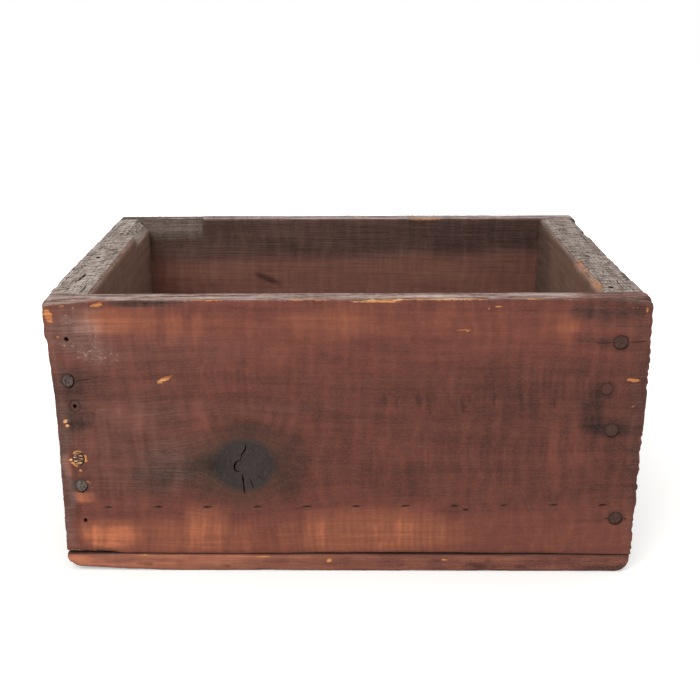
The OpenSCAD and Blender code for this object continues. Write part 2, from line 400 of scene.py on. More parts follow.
    def round_outline(self, side_x, side_z, radius):
        """Rounds one corner of the outline that the board shows from the front, through its whole depth."""
        x = self.low[0] if side_x < 0 else self.high[0]
        z = self.low[2] if side_z < 0 else top_at(x)
        apart = radius - np.stack([(x - self.now[:, 0]) * side_x, (z - self.now[:, 2]) * side_z], 1)
        near = (apart > 0).all(1)
        length = np.maximum(np.hypot(*apart.T), 1e-9)
        taken = apart * (1 - apart.max(1) / length)[:, None] * near[:, None]
        self.now[:, 0] -= side_x * taken[:, 0]
        self.now[:, 2] -= side_z * taken[:, 1]
        flat = np.hypot(self.normal[:, 0], self.normal[:, 2]) / length
        turned = near & ~self.opened
        self.normal[turned, 0] = (side_x * flat * apart[:, 0])[turned]
        self.normal[turned, 2] = (side_z * flat * apart[:, 1])[turned]

    def cut(self, point, normal, rough, mask=1, size=(5, 1.2, 1.2), sway=0):
        """Takes off what lies beyond a plane, and leaves the fresh face rough. Returns how much went.

        Sway moves the plane in and out, so that its edge wanders.
        """
        normal = np.array(normal, float) / np.linalg.norm(normal)
        beyond = np.maximum(0, (self.now - point) @ normal + sway) * mask
        size = np.array(size, float)
        order = np.argsort([self.along, self.across, self.through])
        ragged = 0.5 + 0.5 * noise(self.places, size[order], self.seed + 40, 2)
        taken = beyond + rough * ragged * smooth(0, 1.0, beyond)
        self.now -= taken[:, None] * normal
        return beyond

    def carve(self, amount):
        """Takes an amount off along the surface's own direction. Nothing is ever added."""
        self.now -= self.normal * np.maximum(amount, 0)[:, None]

    def splinter(self, share, count, longest, fresh, slot):
        """Picks places where slivers of torn wood stand off the board, more of them where share is high."""
        random = np.random.default_rng(self.seed + 500)
        picked = random.choice(len(share), count, p=share / share.sum())
        way = np.eye(3)[self.along] * random.choice([-1, 1], (count, 1)) + 0.13 * self.normal[picked]
        way += random.uniform(-0.12, 0.12, (count, 3))
        start = self.now[picked] - 0.15 * self.normal[picked]
        end = start + way * (longest * random.uniform(0.35, 1, count))[:, None]
        low, high = np.array(CAD_BOX) / MM
        end = np.clip(end, low + 0.4, high - 0.4)
        SLIVERS[slot] += [(*pair, fresh) for pair in zip(start, end)]

    def on(self, key):
        """How far the surface at each place looks the way of a face, from 0 to 1."""
        axis = "xyz".index(key[1])
        return np.clip(self.normal[:, axis] * (1 if key[0] == "+" else -1), 0, 1) ** 2

    def grown(self, size, seed, octaves=1):
        """Noise with its size given along the grain, across it and through the board."""
        order = np.argsort([self.along, self.across, self.through])
        return noise(self.places, np.array(size, float)[order], self.seed * 7 + seed, octaves)

    def mesh(self, name, material, values, knots=(), pith=(0, 60), marks=None):
        """Makes the Blender object, with its grain, its rings and the finish's other values as attributes."""
        data = bpy.data.meshes.new(name)
        data.from_pydata([tuple(p) for p in self.now * MM], [], self.faces)
        grain = self.places[:, [self.along, self.across, self.through]].copy()
        if marks is None:
            grain[:, :2] -= ((self.low + self.high) / 2)[[self.along, self.across]]
        else:
            grain[:, :2] = np.stack(marks, 1)
        grain[:, 1] += 2.2 * self.grown((150, 60, 60), 61) + 0.6 * self.grown((45, 18, 18), 62)
        dark = np.full(len(grain), -2.0)
        for place_along, place_across, radius, stretch in knots:
            aside = grain[:, :2] - (place_along, place_across)
            apart = np.hypot(aside[:, 0] / stretch, aside[:, 1])
            bend = (radius / np.maximum(apart, radius * 0.75)) ** 2
            grain[:, 0] += aside[:, 0] * bend
            grain[:, 1] -= aside[:, 1] * bend * 0.9
            dark = np.maximum(dark, 1 - apart / radius)
        rings = np.hypot(grain[:, 1] - pith[0], grain[:, 2] - pith[1]) + 0.018 * grain[:, 0]
        rings += 1.3 * self.grown((90, 30, 30), 63, 2)
        end_grain = self.normal[:, self.along] ** 2 * ~self.opened
        found = {"ring": rings, "knot": dark, "scratch": 0, "rib": 0, **values}
        found["tone"] = found["tone"] - 0.1 * end_grain * np.sin(rings * 2 * np.pi / RING_PITCH)
        for key, value in found.items():
            kept = data.attributes.new(key, "FLOAT", "POINT")
            kept.data.foreach_set("value", np.broadcast_to(value, len(grain)).astype(np.float32))
        kept = data.attributes.new("grain", "FLOAT_VECTOR", "POINT")
        kept.data.foreach_set("vector", grain.astype(np.float32).ravel())
        data.shade_smooth()
        data.set_sharp_from_angle(angle=math.radians(48))
        piece = bpy.data.objects.new(name, data)
        bpy.context.scene.collection.objects.link(piece)
        data.materials.append(material)
        return piece


# Finishes

def add(tree, kind, inputs, out=0, stops=(), **settings):
    """Adds a node, sets it, links or sets its inputs, and returns one of its outputs."""
    made = tree.nodes.new(kind)
    for key, value in settings.items():
        setattr(made, key, value)
    for index, (spot, code) in enumerate(stops):
        if index > 1:
            made.color_ramp.elements.new(spot)
        made.color_ramp.elements[index].position = spot
        made.color_ramp.elements[index].color = linear(code)
    for key, value in inputs.items():
        if isinstance(value, bpy.types.NodeSocket):
            tree.links.new(value, made.inputs[key])
        else:
            made.inputs[key].default_value = value
    return made.outputs[out] if len(made.outputs) else made


def new_material(name):
    """An empty material and its node tree."""
    material = bpy.data.materials.new(name)
    material.use_nodes = True
    material.node_tree.nodes.clear()
    return material, material.node_tree


def even_stops(codes):
    """Colours spread evenly over a ramp."""
    return [(index / (len(codes) - 1), code) for index, code in enumerate(codes)]


# Grain of pine in mm: length along the grain, width across it and depth through it, with its octaves.
# Real fibres are 0.03 mm wide. They are drawn as bundles 0.8 mm wide, which is as fine as the render shows.
GRAIN = {"fibre": ((34, 0.8, 0.9), 3), "vein": ((110, 4.2, 6), 3), "mottle": ((17, 9, 9), 3),
         "fleck": ((4.5, 0.7, 0.7), 2), "cloud": ((48, 26, 26), 2), "dust": ((1.4, 0.9, 0.9), 2),
         "wash": ((5.5, 34, 34), 2), "scratch": ((3.4, 2.0, 2.0), 3)}
# Weak bands of the planer's chatter: distance between bands, how far they sway, the noise that lets them
# come and go, where they start in it, and how much a board's rib attribute adds to them
CHATTER = ((8.5, 14, "wash", 0.3, 0), (3.6, 13, "cloud", 0.5, 1))
# Scores of the saw: how long they are and how far apart they lie, in mm
SCORE_LENGTH, SCORE_PITCH = 9, 2.8
# What each board's mesh says about its finish, and where shade is painted, from 0 to about 1 at each place
LEVELS = ("tone", "crisp", "grey", "grime_and_shade", "bare", "knot", "ring", "scuff", "scratch", "rib")
KNOT_DARK, KNOT_LIGHT, HALO = "#2e2826", "#3e3636", "#45342a"
# Dark dirt, which also paints the shade in openings and seams
GRIME_AND_SHADE = "#2a1f1b"
BARE_DARK, BARE_LIGHT, BARE_PALE = "#a55a38", "#d59058", "#e6b78a"
DUST = "#b9a79b"
# Tones from dark to light: planed faces, end boards, and both where they are weathered
FACE_BROWNS = ["#2a1a16", "#543029", "#794337", "#96573f", "#c97450"]
END_BROWNS = ["#2c1f19", "#4f372d", "#6c493b", "#8b624c", "#b28364"]
GREYS = ["#352b26", "#62544c", "#867a72", "#a59b94", "#c4beb8"]
# Torn fibres from weathered to fresh, and steel: rust, bare metal, and shellac over it
TORN_TONES = [(0.2, "#6f665e"), (0.5, "#9a8f84"), (0.85, "#b5774c"), (0.96, "#d59a66"), (1, "#efc893")]
RUST_TONES = [(0.5, "#33241f"), (0.7, "#43312c"), (0.86, "#503b35"), (1.0, "#63504a")]
BARE_STEEL, COATED_STEEL = "#675c57", "#5d3a33"


def grain_noises(tree, grain):
    """The noises that the grain is made of, each stretched along the board."""
    look = {}
    for key, (sizes, octaves) in GRAIN.items():
        place = add(tree, "ShaderNodeVectorMath", {0: grain, 1: [1 / size for size in sizes]},
                    operation="MULTIPLY")
        look[key] = add(tree, "ShaderNodeTexNoise",
                        {"Vector": place, "Scale": 1, "Detail": octaves, "Roughness": 0.62})
    return look


def year_rings(tree, level, look):
    """Thin dark lines of late wood, swayed by the mottling."""
    sway = add(tree, "ShaderNodeMath", {0: look["mottle"], 1: 2.4}, operation="MULTIPLY")
    phase = add(tree, "ShaderNodeMath", {0: level["ring"], 1: math.tau / RING_PITCH, 2: sway},
                operation="MULTIPLY_ADD")
    wave = add(tree, "ShaderNodeMath", {0: phase}, operation="SINE")
    return add(tree, "ShaderNodeMapRange", {0: wave, 1: -0.2, 2: 1, 3: 0, 4: 1})


def chatter_bands(tree, grain, level, look):
    """The planer's chatter across the grain, one output for each kind of band."""
    along = add(tree, "ShaderNodeSeparateXYZ", {0: grain}, out="X")
    bands = []
    for pitch, sway, part, start, more in CHATTER:
        drift = add(tree, "ShaderNodeMath", {0: look["mottle"], 1: sway / 6}, operation="MULTIPLY")
        drift = add(tree, "ShaderNodeMath", {0: look["cloud"], 1: sway, 2: drift}, operation="MULTIPLY_ADD")
        phase = add(tree, "ShaderNodeMath", {0: along, 1: math.tau / pitch, 2: drift},
                    operation="MULTIPLY_ADD")
        band = add(tree, "ShaderNodeMath", {0: phase}, operation="SINE")
        here = add(tree, "ShaderNodeMapRange", {0: look[part], 1: start, 2: start + 0.25, 3: 0, 4: 1})
        here = add(tree, "ShaderNodeMath", {0: level["rib"], 1: more, 2: here}, operation="MULTIPLY_ADD")
        bands.append(add(tree, "ShaderNodeMath", {0: band, 1: here}, operation="MULTIPLY"))
    return bands


def saw_scores(tree, grain, level, way):
    """Fine dark scores that cross the grain at a slant, where the board is scuffed."""
    run, side = way
    far = [add(tree, "ShaderNodeVectorMath", {0: grain, 1: axis}, out="Value", operation="DOT_PRODUCT")
           for axis in ((run / SCORE_LENGTH, 0, side / SCORE_LENGTH),
                        (-side / SCORE_PITCH, 0, run / SCORE_PITCH))]
    place = add(tree, "ShaderNodeCombineXYZ", {0: far[0], 1: far[1]})
    scored = add(tree, "ShaderNodeTexNoise", {"Vector": place, "Scale": 1, "Detail": 4, "Roughness": 0.7})
    scored = add(tree, "ShaderNodeMapRange", {0: scored, 1: 0.48, 2: 0.7, 3: 0, 4: 1})
    return add(tree, "ShaderNodeMath", {0: scored, 1: level["scuff"]}, operation="MULTIPLY")


def with_knots(tree, colour, level, look):
    """Lays knots over the colour: dark rings in a dark core, and an olive halo where the grain parts."""
    turned = add(tree, "ShaderNodeMath", {0: look["mottle"], 1: 0.22, 2: level["knot"]},
                 operation="MULTIPLY_ADD")
    around = add(tree, "ShaderNodeMapRange", {0: turned, 1: -0.95, 2: 0.15, 3: 0, 4: 0.62})
    colour = add(tree, "ShaderNodeMix", {0: around, 6: colour, 7: linear(HALO)}, out=2, data_type="RGBA")
    wave = add(tree, "ShaderNodeMath", {0: look["fleck"], 1: 6}, operation="MULTIPLY")
    wave = add(tree, "ShaderNodeMath", {0: turned, 1: 30, 2: wave}, operation="MULTIPLY_ADD")
    wave = add(tree, "ShaderNodeMath", {0: wave}, operation="SINE")
    wave = add(tree, "ShaderNodeMath", {0: wave, 1: 0.14, 2: look["mottle"]}, operation="MULTIPLY_ADD")
    core = add(tree, "ShaderNodeMix", {0: wave, 6: linear(KNOT_DARK), 7: linear(KNOT_LIGHT)}, out=2,
               data_type="RGBA")
    inside = add(tree, "ShaderNodeMapRange", {0: turned, 1: 0.0, 2: 0.22, 3: 0, 4: 0.95})
    return add(tree, "ShaderNodeMix", {0: inside, 6: colour, 7: core}, out=2, data_type="RGBA")


def with_dirt_and_shade(tree, colour, level, look):
    """Lays dust that rubbed in over the colour, also in thin scratches, and then dark dirt together with
    painted shade.
    """
    thin = add(tree, "ShaderNodeMath", {0: look["scratch"], 1: -0.5}, operation="ADD")
    thin = add(tree, "ShaderNodeMath", {0: thin}, operation="ABSOLUTE")
    thin = add(tree, "ShaderNodeMapRange", {0: thin, 1: 0.004, 2: 0.022, 3: 1, 4: 0})
    specks = add(tree, "ShaderNodeMapRange", {0: look["dust"], 1: 0.42, 2: 0.75, 3: 0, 4: 1})
    thin = add(tree, "ShaderNodeMath", {0: thin, 1: specks}, operation="MULTIPLY")
    thin = add(tree, "ShaderNodeMath", {0: thin, 1: level["scratch"]}, operation="MULTIPLY")
    dusty = add(tree, "ShaderNodeMath", {0: specks, 1: level["scuff"], 2: thin},
                operation="MULTIPLY_ADD", use_clamp=True)
    colour = add(tree, "ShaderNodeMix", {0: dusty, 6: colour, 7: linear(DUST)}, out=2, data_type="RGBA")
    speck = add(tree, "ShaderNodeMath", {0: look["fleck"], 1: 0.8, 2: look["mottle"]},
                operation="MULTIPLY_ADD")
    # Real dirt and the painted shade of openings and seams darken the colour through one level
    dirt_and_shade = add(tree, "ShaderNodeMath", {0: speck, 1: level["grime_and_shade"]}, operation="MULTIPLY", use_clamp=True)
    return add(tree, "ShaderNodeMix", {0: dirt_and_shade, 6: colour, 7: linear(GRIME_AND_SHADE)}, out=2, data_type="RGBA")


def with_bare_wood(tree, colour, level, look):
    """Lays bare wood over the colour where the surface tore off, paler the higher the level. Says where."""
    torn = add(tree, "ShaderNodeMath", {0: look["fleck"], 1: 0.6, 2: level["bare"]},
               operation="MULTIPLY_ADD")
    torn = add(tree, "ShaderNodeMath", {0: look["fibre"], 1: 0.8, 2: torn}, operation="MULTIPLY_ADD")
    torn = add(tree, "ShaderNodeMapRange", {0: torn, 1: 1.1, 2: 1.46, 3: 0, 4: 1})
    pale = add(tree, "ShaderNodeMapRange", {0: level["bare"], 1: 1, 2: 1.6, 3: -0.2, 4: 0.2})
    fresh = add(tree, "ShaderNodeMath", {0: look["fibre"], 1: pale}, operation="ADD")
    fresh = add(tree, "ShaderNodeMath", {0: look["mottle"], 1: 0.5, 2: fresh}, operation="MULTIPLY_ADD")
    fresh = add(tree, "ShaderNodeValToRGB", {0: fresh},
                stops=[(0.35, BARE_DARK), (0.62, BARE_LIGHT), (0.9, BARE_PALE)])
    colour = add(tree, "ShaderNodeMix", {0: torn, 6: colour, 7: fresh}, out=2, data_type="RGBA")
    return colour, torn


def pine(name, browns, greys, polish, chatter=0.03, saw_way=None):
    """Old pine. Browns and greys run from its darkest to its lightest tone, kept and weathered.

    Polish is the roughness of its kept finish. Chatter is how strong the planer's bands are, and saw_way is
    the way that the saw's scores run, along and through the board.
    """
    material, tree = new_material(name)
    level = {key: add(tree, "ShaderNodeAttribute", {}, out="Fac", attribute_name=key) for key in LEVELS}
    grain = add(tree, "ShaderNodeAttribute", {}, out="Vector", attribute_name="grain")
    look = grain_noises(tree, grain)
    late = year_rings(tree, level, look)
    bands = chatter_bands(tree, grain, level, look)

    # The pattern is weak where the wood is planed and finished, and strong where it is rough
    change = add(tree, "ShaderNodeMath", {0: look["fleck"], 1: -0.5}, operation="ADD")
    change = add(tree, "ShaderNodeMath", {0: change, 1: 0.22}, operation="MULTIPLY")
    for part, weight, middle in ((look["fibre"], 0.55, 0.5), (look["vein"], 0.55, 0.5), (late, -0.08, 0.35)):
        shifted = add(tree, "ShaderNodeMath", {0: part, 1: -middle}, operation="ADD")
        change = add(tree, "ShaderNodeMath", {0: shifted, 1: weight, 2: change}, operation="MULTIPLY_ADD")
    tone = add(tree, "ShaderNodeMath", {0: change, 1: level["crisp"], 2: level["tone"]},
               operation="MULTIPLY_ADD")
    for part, weight, middle in ((look["mottle"], 0.2, 0.5), (look["wash"], 7 * chatter, 0.5),
                                 (bands[0], chatter, 0), (bands[1], 1.2 * chatter, 0)):
        shifted = add(tree, "ShaderNodeMath", {0: part, 1: -middle}, operation="ADD")
        tone = add(tree, "ShaderNodeMath", {0: shifted, 1: weight, 2: tone}, operation="MULTIPLY_ADD")
    if saw_way:
        scored = saw_scores(tree, grain, level, saw_way)
        tone = add(tree, "ShaderNodeMath", {0: scored, 1: -1.1, 2: tone}, operation="MULTIPLY_ADD")
    brown = add(tree, "ShaderNodeValToRGB", {0: tone}, stops=even_stops(browns))

    # Weathered wood shows each bundle of fibres, silver on its ridge and dark beside it
    ridges = add(tree, "ShaderNodeMath", {0: look["fibre"], 1: 2.1, 2: -1.6}, operation="MULTIPLY_ADD")
    ridges = add(tree, "ShaderNodeMath", {0: look["fleck"], 1: 1.1, 2: ridges}, operation="MULTIPLY_ADD")
    ridges = add(tree, "ShaderNodeMath", {0: ridges, 1: level["crisp"], 2: tone}, operation="MULTIPLY_ADD")
    silver = add(tree, "ShaderNodeValToRGB", {0: ridges}, stops=even_stops(greys))
    patchy = add(tree, "ShaderNodeMath", {0: look["mottle"], 1: 0.7, 2: -0.35}, operation="MULTIPLY_ADD")
    patchy = add(tree, "ShaderNodeMath", {0: patchy, 1: level["grey"]}, operation="ADD")
    greyed = add(tree, "ShaderNodeMath", {0: level["grey"], 1: patchy}, operation="MULTIPLY")
    greyed = add(tree, "ShaderNodeMath", {0: greyed, 1: level["grey"]}, operation="MAXIMUM", use_clamp=True)
    colour = add(tree, "ShaderNodeMix", {0: greyed, 6: brown, 7: silver}, out=2, data_type="RGBA")
    colour = with_knots(tree, colour, level, look)
    colour = with_dirt_and_shade(tree, colour, level, look)
    colour, torn = with_bare_wood(tree, colour, level, look)

    # Weathered and torn wood is dull, and its fibres stand up
    dull = add(tree, "ShaderNodeMath", {0: greyed, 1: torn}, operation="MAXIMUM")
    rough = add(tree, "ShaderNodeMapRange", {0: dull, 1: 0, 2: 1, 3: polish, 4: 0.88})
    rough = add(tree, "ShaderNodeMath", {0: look["fibre"], 1: 0.16, 2: rough}, operation="MULTIPLY_ADD")
    depth = add(tree, "ShaderNodeMath", {0: dull, 1: 0.85, 2: 0.15}, operation="MULTIPLY_ADD")
    height = add(tree, "ShaderNodeMath", {0: look["fleck"], 1: 0.4, 2: look["fibre"]},
                 operation="MULTIPLY_ADD")
    height = add(tree, "ShaderNodeMath", {0: height, 1: depth}, operation="MULTIPLY")
    height = add(tree, "ShaderNodeMath", {0: late, 1: 0.06, 2: height}, operation="MULTIPLY_ADD")
    if saw_way:
        height = add(tree, "ShaderNodeMath", {0: scored, 1: -0.9, 2: height}, operation="MULTIPLY_ADD")
    bump = add(tree, "ShaderNodeBump", {"Height": height, "Strength": 0.7, "Distance": 0.5 * MM})
    shader = add(tree, "ShaderNodeBsdfPrincipled",
                 {"Base Color": colour, "Roughness": rough, "Normal": bump, "IOR": 1.5,
                  "Specular IOR Level": 0.12})
    add(tree, "ShaderNodeOutputMaterial", {"Surface": shader})
    return material


# What every board's wear and finish are made of

def spot_distance(u, v, spot, turn=0, square=False):
    """Distance from a spot (place, place, half its length, half its width), which is 1 on its outline.

    The outline is an ellipse, or squarer.
    """
    at_u, at_v, half_u, half_v = spot
    cos, sin = math.cos(math.radians(turn)), math.sin(math.radians(turn))
    aside_u, aside_v = u - at_u, v - at_v
    power = 4 if square else 2
    along = np.abs((aside_u * cos + aside_v * sin) / half_u) ** power
    across = np.abs((aside_v * cos - aside_u * sin) / half_v) ** power
    return (along + across) ** (1 / power)


def stains(board, u, v, spots, seed, warp=(5, 2.5)):
    """Ragged patches: (place, place, half length, half width, change of tone, change of grey).

    The bright ones, where the finish is rubbed thin, are squarer and have a firmer edge.
    """
    warped_u = u + warp[0] * board.grown((30, 12, 12), seed, 2)
    warped_v = v + warp[1] * board.grown((40, 9, 9), seed + 1, 2)
    tone = np.zeros(len(u))
    grey = np.zeros(len(u))
    streaky = 1 + 0.4 * board.grown((3.2, 26, 26), seed + 2, 2)
    streaky = streaky + 0.45 * board.grown((60, 1.7, 1.7), seed + 3, 2)
    for *spot, more_tone, more_grey in spots:
        bright = more_tone > 0.2
        firm = 0.2 * bright
        share = 1 - smooth(0.4 + firm, 1.6 - firm, spot_distance(warped_u, warped_v, spot, 0, bright))
        share *= np.maximum(streaky, 0)
        tone += share * more_tone
        grey += share * more_grey
    return tone, grey


FRONT_NAILS = ("front_left_nail", "front_right_nail")
BACK_NAILS = ("back_left_nail", "back_right_nail")
BOTTOM_NAILS = ("bottom_front_nail", "bottom_back_nail", "bottom_left_nail", "bottom_right_nail")


def nail_places(prefixes):
    """Middles of the nails whose names start alike."""
    found = [box_mm(name) for name in sorted(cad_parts) if name.startswith(prefixes)]
    return [(low + high) / 2 for low, high in found]


def cavity(board):
    """Dirt and painted shade in openings, darker the deeper they are."""
    return board.opened * (0.7 + 0.6 * smooth(0, 1.2, board.depth))


# The pits that the nails' heads lie in, in mm: radii of the heads, the room around them, and depths
SIDE_HEAD_R = np.ptp(box_mm("front_left_nail_1"), axis=0)[0] / 2
BOTTOM_HEAD_R = np.ptp(box_mm("bottom_left_nail_1"), axis=0)[0] / 2
HEAD_ROOM = 0.16
HEAD_PIT, BOTTOM_HEAD_PIT = 1.9, 1.7

# Marks on the front board, placed along its upper edge
PULLED_HOLES = [(10.4, 141.2), (11.2, 102.7), (12.1, 33.3)]
PULLED_HOLE_R, PULLED_HOLE_DEPTH = 1.25, 9
TORN_NAIL = (10.8, 71.1)
# One head is partly covered: its place, and the radius of what still shows
SMALL_NAIL, SMALL_HEAD_R = (302.6, 111.2), 3.3
# The knot: place, radius, and how much longer than wide it is
KNOT = (103.5, 66, 15.8, 1.14)
# The knot's dark left lobe: place, half length, half height
KNOT_LOBE = (86, 67.5, 10, 6.5)
# Cracks: path, width, depth
FRONT_CRACKS = [
    ([(101.4, 70), (99.1, 68.6), (98, 66.4), (98.7, 63.9), (101.2, 62.6)], 0.9, 4),
    ([(101.3, 69.2), (102.6, 73.6), (104.6, 76.4), (104.9, 80.2)], 0.7, 4),
    ([(102.4, 61.8), (103, 55.6), (103.5, 49.2)], 0.8, 4),
    ([(106.4, 59.1), (108.6, 52.7)], 0.3, 1.2), ([(110.4, 61.1), (114.5, 57.8)], 0.2, 0.8),
    ([(2.9, 117.1), (4.1, 117.3)], 0.3, 1), ([(13.4, 117.3), (17, 117.9), (21.6, 118.4)], 0.3, 1.2),
    ([(296, 138), (300, 137.8), (304.6, 138.3)], 0.2, 0.5),
    ([(314.4, 138.3), (318, 138.5), (322.4, 139)], 0.35, 1.2),
    ([(308, 32.2), (310, 32.6)], 0.35, 1), ([(318.6, 32.6), (320.6, 32.2)], 0.35, 1),
]
# Dents of the feed roller: place, half length, half height
FEED_DENTS = [(26.3 + 28 * k, 41, 2.9, 0.7) for k in range(11)] + [(228.6, 38.4, 2, 0.7)]
# Chips: place, half length, half width, turn, depth
CHIPS = [
    (61.8, 117.9, 5.4, 1.3, 27, 0.6), (317.8, 116.4, 4.4, 1.4, -6, 0.7), (224, 145.5, 5, 0.6, -3, 0.3),
    (3.4, 93.6, 1.9, 1.2, 20, 0.6), (4.6, 91.2, 1.5, 1.0, 0, 0.6), (15.4, 57.2, 1.3, 0.5, -10, 0.3),
    (17, 56.4, 0.9, 0.4, 0, 0.3), (28.4, 160.4, 3.4, 1.3, 8, 0.5), (25, 159.4, 2.0, 0.5, 20, 0.3),
    (2.0, 154.2, 2.4, 4.2, 20, 0.5), (9.6, 159.6, 2.6, 0.5, 0, 0.3), (317, 158.0, 3.2, 0.5, 4, 0.4),
    (15.5, 158.4, 1.4, 0.5, 0, 0.3), (322, 156.5, 0.6, 1.6, 0, 0.4), (180, 161.9, 15, 0.7, 1, 0.5),
    (318, 100.6, 2, 0.4, 30, 0.3), (240, 158, 4, 0.3, 8, 0.3), (6, 142.5, 0.9, 0.7, 0, 0.3),
    (11.6, 154.4, 0.8, 0.7, 0, 0.3), (4.9, 70.6, 1.3, 0.8, 8, 0.3), (5.2, 68.6, 0.8, 0.5, 0, 0.3),
    (11.4, 64.2, 1.3, 1.0, -30, 0.3),
]
# How far the ends are worn back, by height, and how far the lower edge has risen, by place along the board
LEFT_TRIM = ([15, 52, 77, 102, 118, 130, 139, 141.5, 161], [3.1, 3.2, 3.3, 3.1, 2.4, 1.6, 1.2, 0.1, 0])
RIGHT_TRIM = ([10, 44, 96, 125, 163], [0, 0, 0.2, 0, 1.4])
SEAM = ([2.5, 25, 33, 100, 139, 181, 221, 273, 322], [1.8, 1.5, 0.2, 0, 0.6, 1.0, 1.0, 0.8, 0.1])
# The bevels at the ends of the upper edge: lengths, and how deep they go
LEFT_BEVEL, RIGHT_BEVEL, BEVEL = 34, 40, 4.2
# How far each head was struck bare, from 0 to 1. Below 0, shellac lies over it
STRUCK = {"front_left_nail_1": 0.8, "front_left_nail_2": -0.8, "front_left_nail_3": 1.0,
          "front_right_nail_1": -0.2, "front_right_nail_2": -0.8, "front_right_nail_3": -0.3,
          "front_right_nail_4": -0.2}
# Slivers over the torn nail's head: how far in from its face they lie, and where they run from its middle:
# from and to across, from and to up
SLIVER_SUNK = 0.07
TORN_OVER = [
    (-3.2, 1.2, 1.6, 2.1), (-2.2, 2.6, 0.7, 0.5), (-3.8, -0.4, -0.3, -0.8), (-1.6, 2.2, -1.4, -1.2),
    (-4.6, -2.2, 0.9, 0.4), (-0.9, 1.5, -3.2, -3.6), (-1.4, 0.9, -4.3, -4.8), (-5.4, -3.4, 0.2, 0.5),
    (-3.0, 0.4, 2.6, 2.9), (2.9, -0.4, 1.6, 1.9), (3.3, -0.8, -0.2, 0.1), (-3.3, 0.6, 1.1, 1.2),
    (-3.1, 0.8, -1.9, -1.7), (2.7, -0.6, -2.5, -2.3), (-1.6, 1.6, 3.2, 3.2), (2.2, -1.6, -3.0, -2.8),
]
# Patches of the front: place, half length, half height, change of tone, change of grey
FRONT_STAINS = [
    (31, 152, 14, 7, 0.27, 0), (52, 151, 8, 8, 0.14, 0), (68, 148, 5, 9, 0.18, 0),
    (81, 147, 3, 9, 0.16, 0), (154, 150, 24, 9, 0.12, 0), (213, 151, 6, 7, 0.12, 0),
    (281, 147, 8, 8, 0.2, 0), (26, 22.5, 15, 9, 0.37, 0), (57, 22, 14, 10, 0.15, 0),
    (80, 26.5, 12, 14, 0.25, 0), (104, 22, 9, 9, 0.12, 0), (128, 26, 5, 13, 0.1, 0),
    (142, 26, 6, 13, 0.12, 0), (170, 25, 28, 14, 0.22, 0), (203, 26, 13, 15, 0.17, 0),
    (222, 20, 12, 8, 0.1, 0), (276, 73, 4, 22, 0.1, 0), (289, 73, 3.5, 22, 0.06, 0),
    (39, 96, 11, 9, 0.12, 0), (80, 97, 6, 12, 0.1, 0), (58, 64, 15, 12, -0.07, 0.18),
    (78, 68, 22, 14, -0.04, 0.12), (38, 85, 34, 34, 0.0, 0.1), (84, 60, 12, 10, -0.06, 0.04),
    (86, 67.5, 8, 6.5, -0.16, 0.32), (72, 66, 7, 5, -0.06, 0.14), (129, 66, 9, 19, -0.16, 0.02),
    (110, 88, 13, 5, -0.12, 0.02), (58, 134, 52, 9, -0.02, 0.06), (115, 155, 7, 5, -0.06, 0),
    (186, 137, 26, 6, -0.03, 0), (120, 132, 10, 8, 0.08, 0), (291, 156, 9, 3, -0.1, 0.05),
    (304, 152, 10, 6, -0.08, 0.05), (255, 94, 26, 24, -0.06, 0), (153, 76, 16, 16, -0.05, 0),
    (299, 97, 7, 15, -0.16, 0), (308, 88.5, 11, 5, -0.2, 0), (196, 56, 6, 12, -0.08, 0),
    (322, 88, 5, 70, -0.06, 0.08), (295, 138, 12, 1.6, -0.07, 0), (304, 158, 18, 5, -0.15, 0.06),
    (318, 150, 8, 9, -0.1, 0.06), (1, 70, 4, 60, -0.04, 0.3), (100, 101, 60, 5, -0.02, 0.05),
    (12, 148, 12, 13, -0.06, 0.26), (25, 139, 9, 13, 0.04, 0.16), (10, 102, 9, 12, -0.08, 0.06),
    (12, 118, 14, 9, -0.12, 0.06), (307, 137, 15, 4, -0.12, 0), (9, 91, 7, 4, -0.16, 0.05),
    (312, 70, 9, 14, -0.04, 0), (302.6, 111, 5, 5, -0.1, 0), (54, 162.2, 18, 1.7, -0.3, 0.3),
    (24, 159, 5, 1.7, -0.24, 0.2), (9.4, 54.6, 6.4, 3.8, -0.12, 0.3), (11, 47, 7, 3.2, 0.42, 0),
    (4.5, 68, 3, 6, 0.3, 0), (8, 40, 5, 5, -0.06, 0),
]
# Dark upright streaks where the planer's knife tore the grain: place, half length, half height
TEAR_OUTS = [
    (182, 104, 1.4, 4.5), (188, 103, 0.8, 3), (201, 105, 1.3, 6), (206, 103, 1.0, 6.5),
    (225, 103, 1.1, 7), (229, 106, 0.8, 4), (242, 105, 0.9, 4.5), (257, 105, 1.3, 6.5),
    (262, 106, 0.8, 5.5), (275, 104, 0.9, 4),
]
# Pale scratches that have filled with dust, near the upper left corner: place, half length, half height
SCRATCHES = [(25, 143, 3.6, 9), (32, 131, 8, 4.5), (13, 152, 3, 2.5), (20, 133, 5, 5), (11, 138, 6, 3)]
# One pulled nail has left the print of its head
PRINTED_HOLE = PULLED_HOLES[1]
# The front's tone by height, and how it falls along the board
TONE_UP = ([11, 16, 28, 40, 54, 120, 134, 143, 152, 160],
           [0.50, 0.52, 0.50, 0.40, 0.34, 0.34, 0.43, 0.47, 0.49, 0.42])
TONE_ALONG = ([0, 120, 250, 324], [0.03, 0.02, 0.0, -0.02])
# Zones with finer triangles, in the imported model's frame: both ends, the dents and the knot
FRONT_ZONES = [(-162, 20, -140, 160, 0.75), (134, 20, 161, 160, 0.75), (-139, 38, 151, 45.5, (0.8, 0.5)),
               (-76, 45, -30, 86, 0.6)]


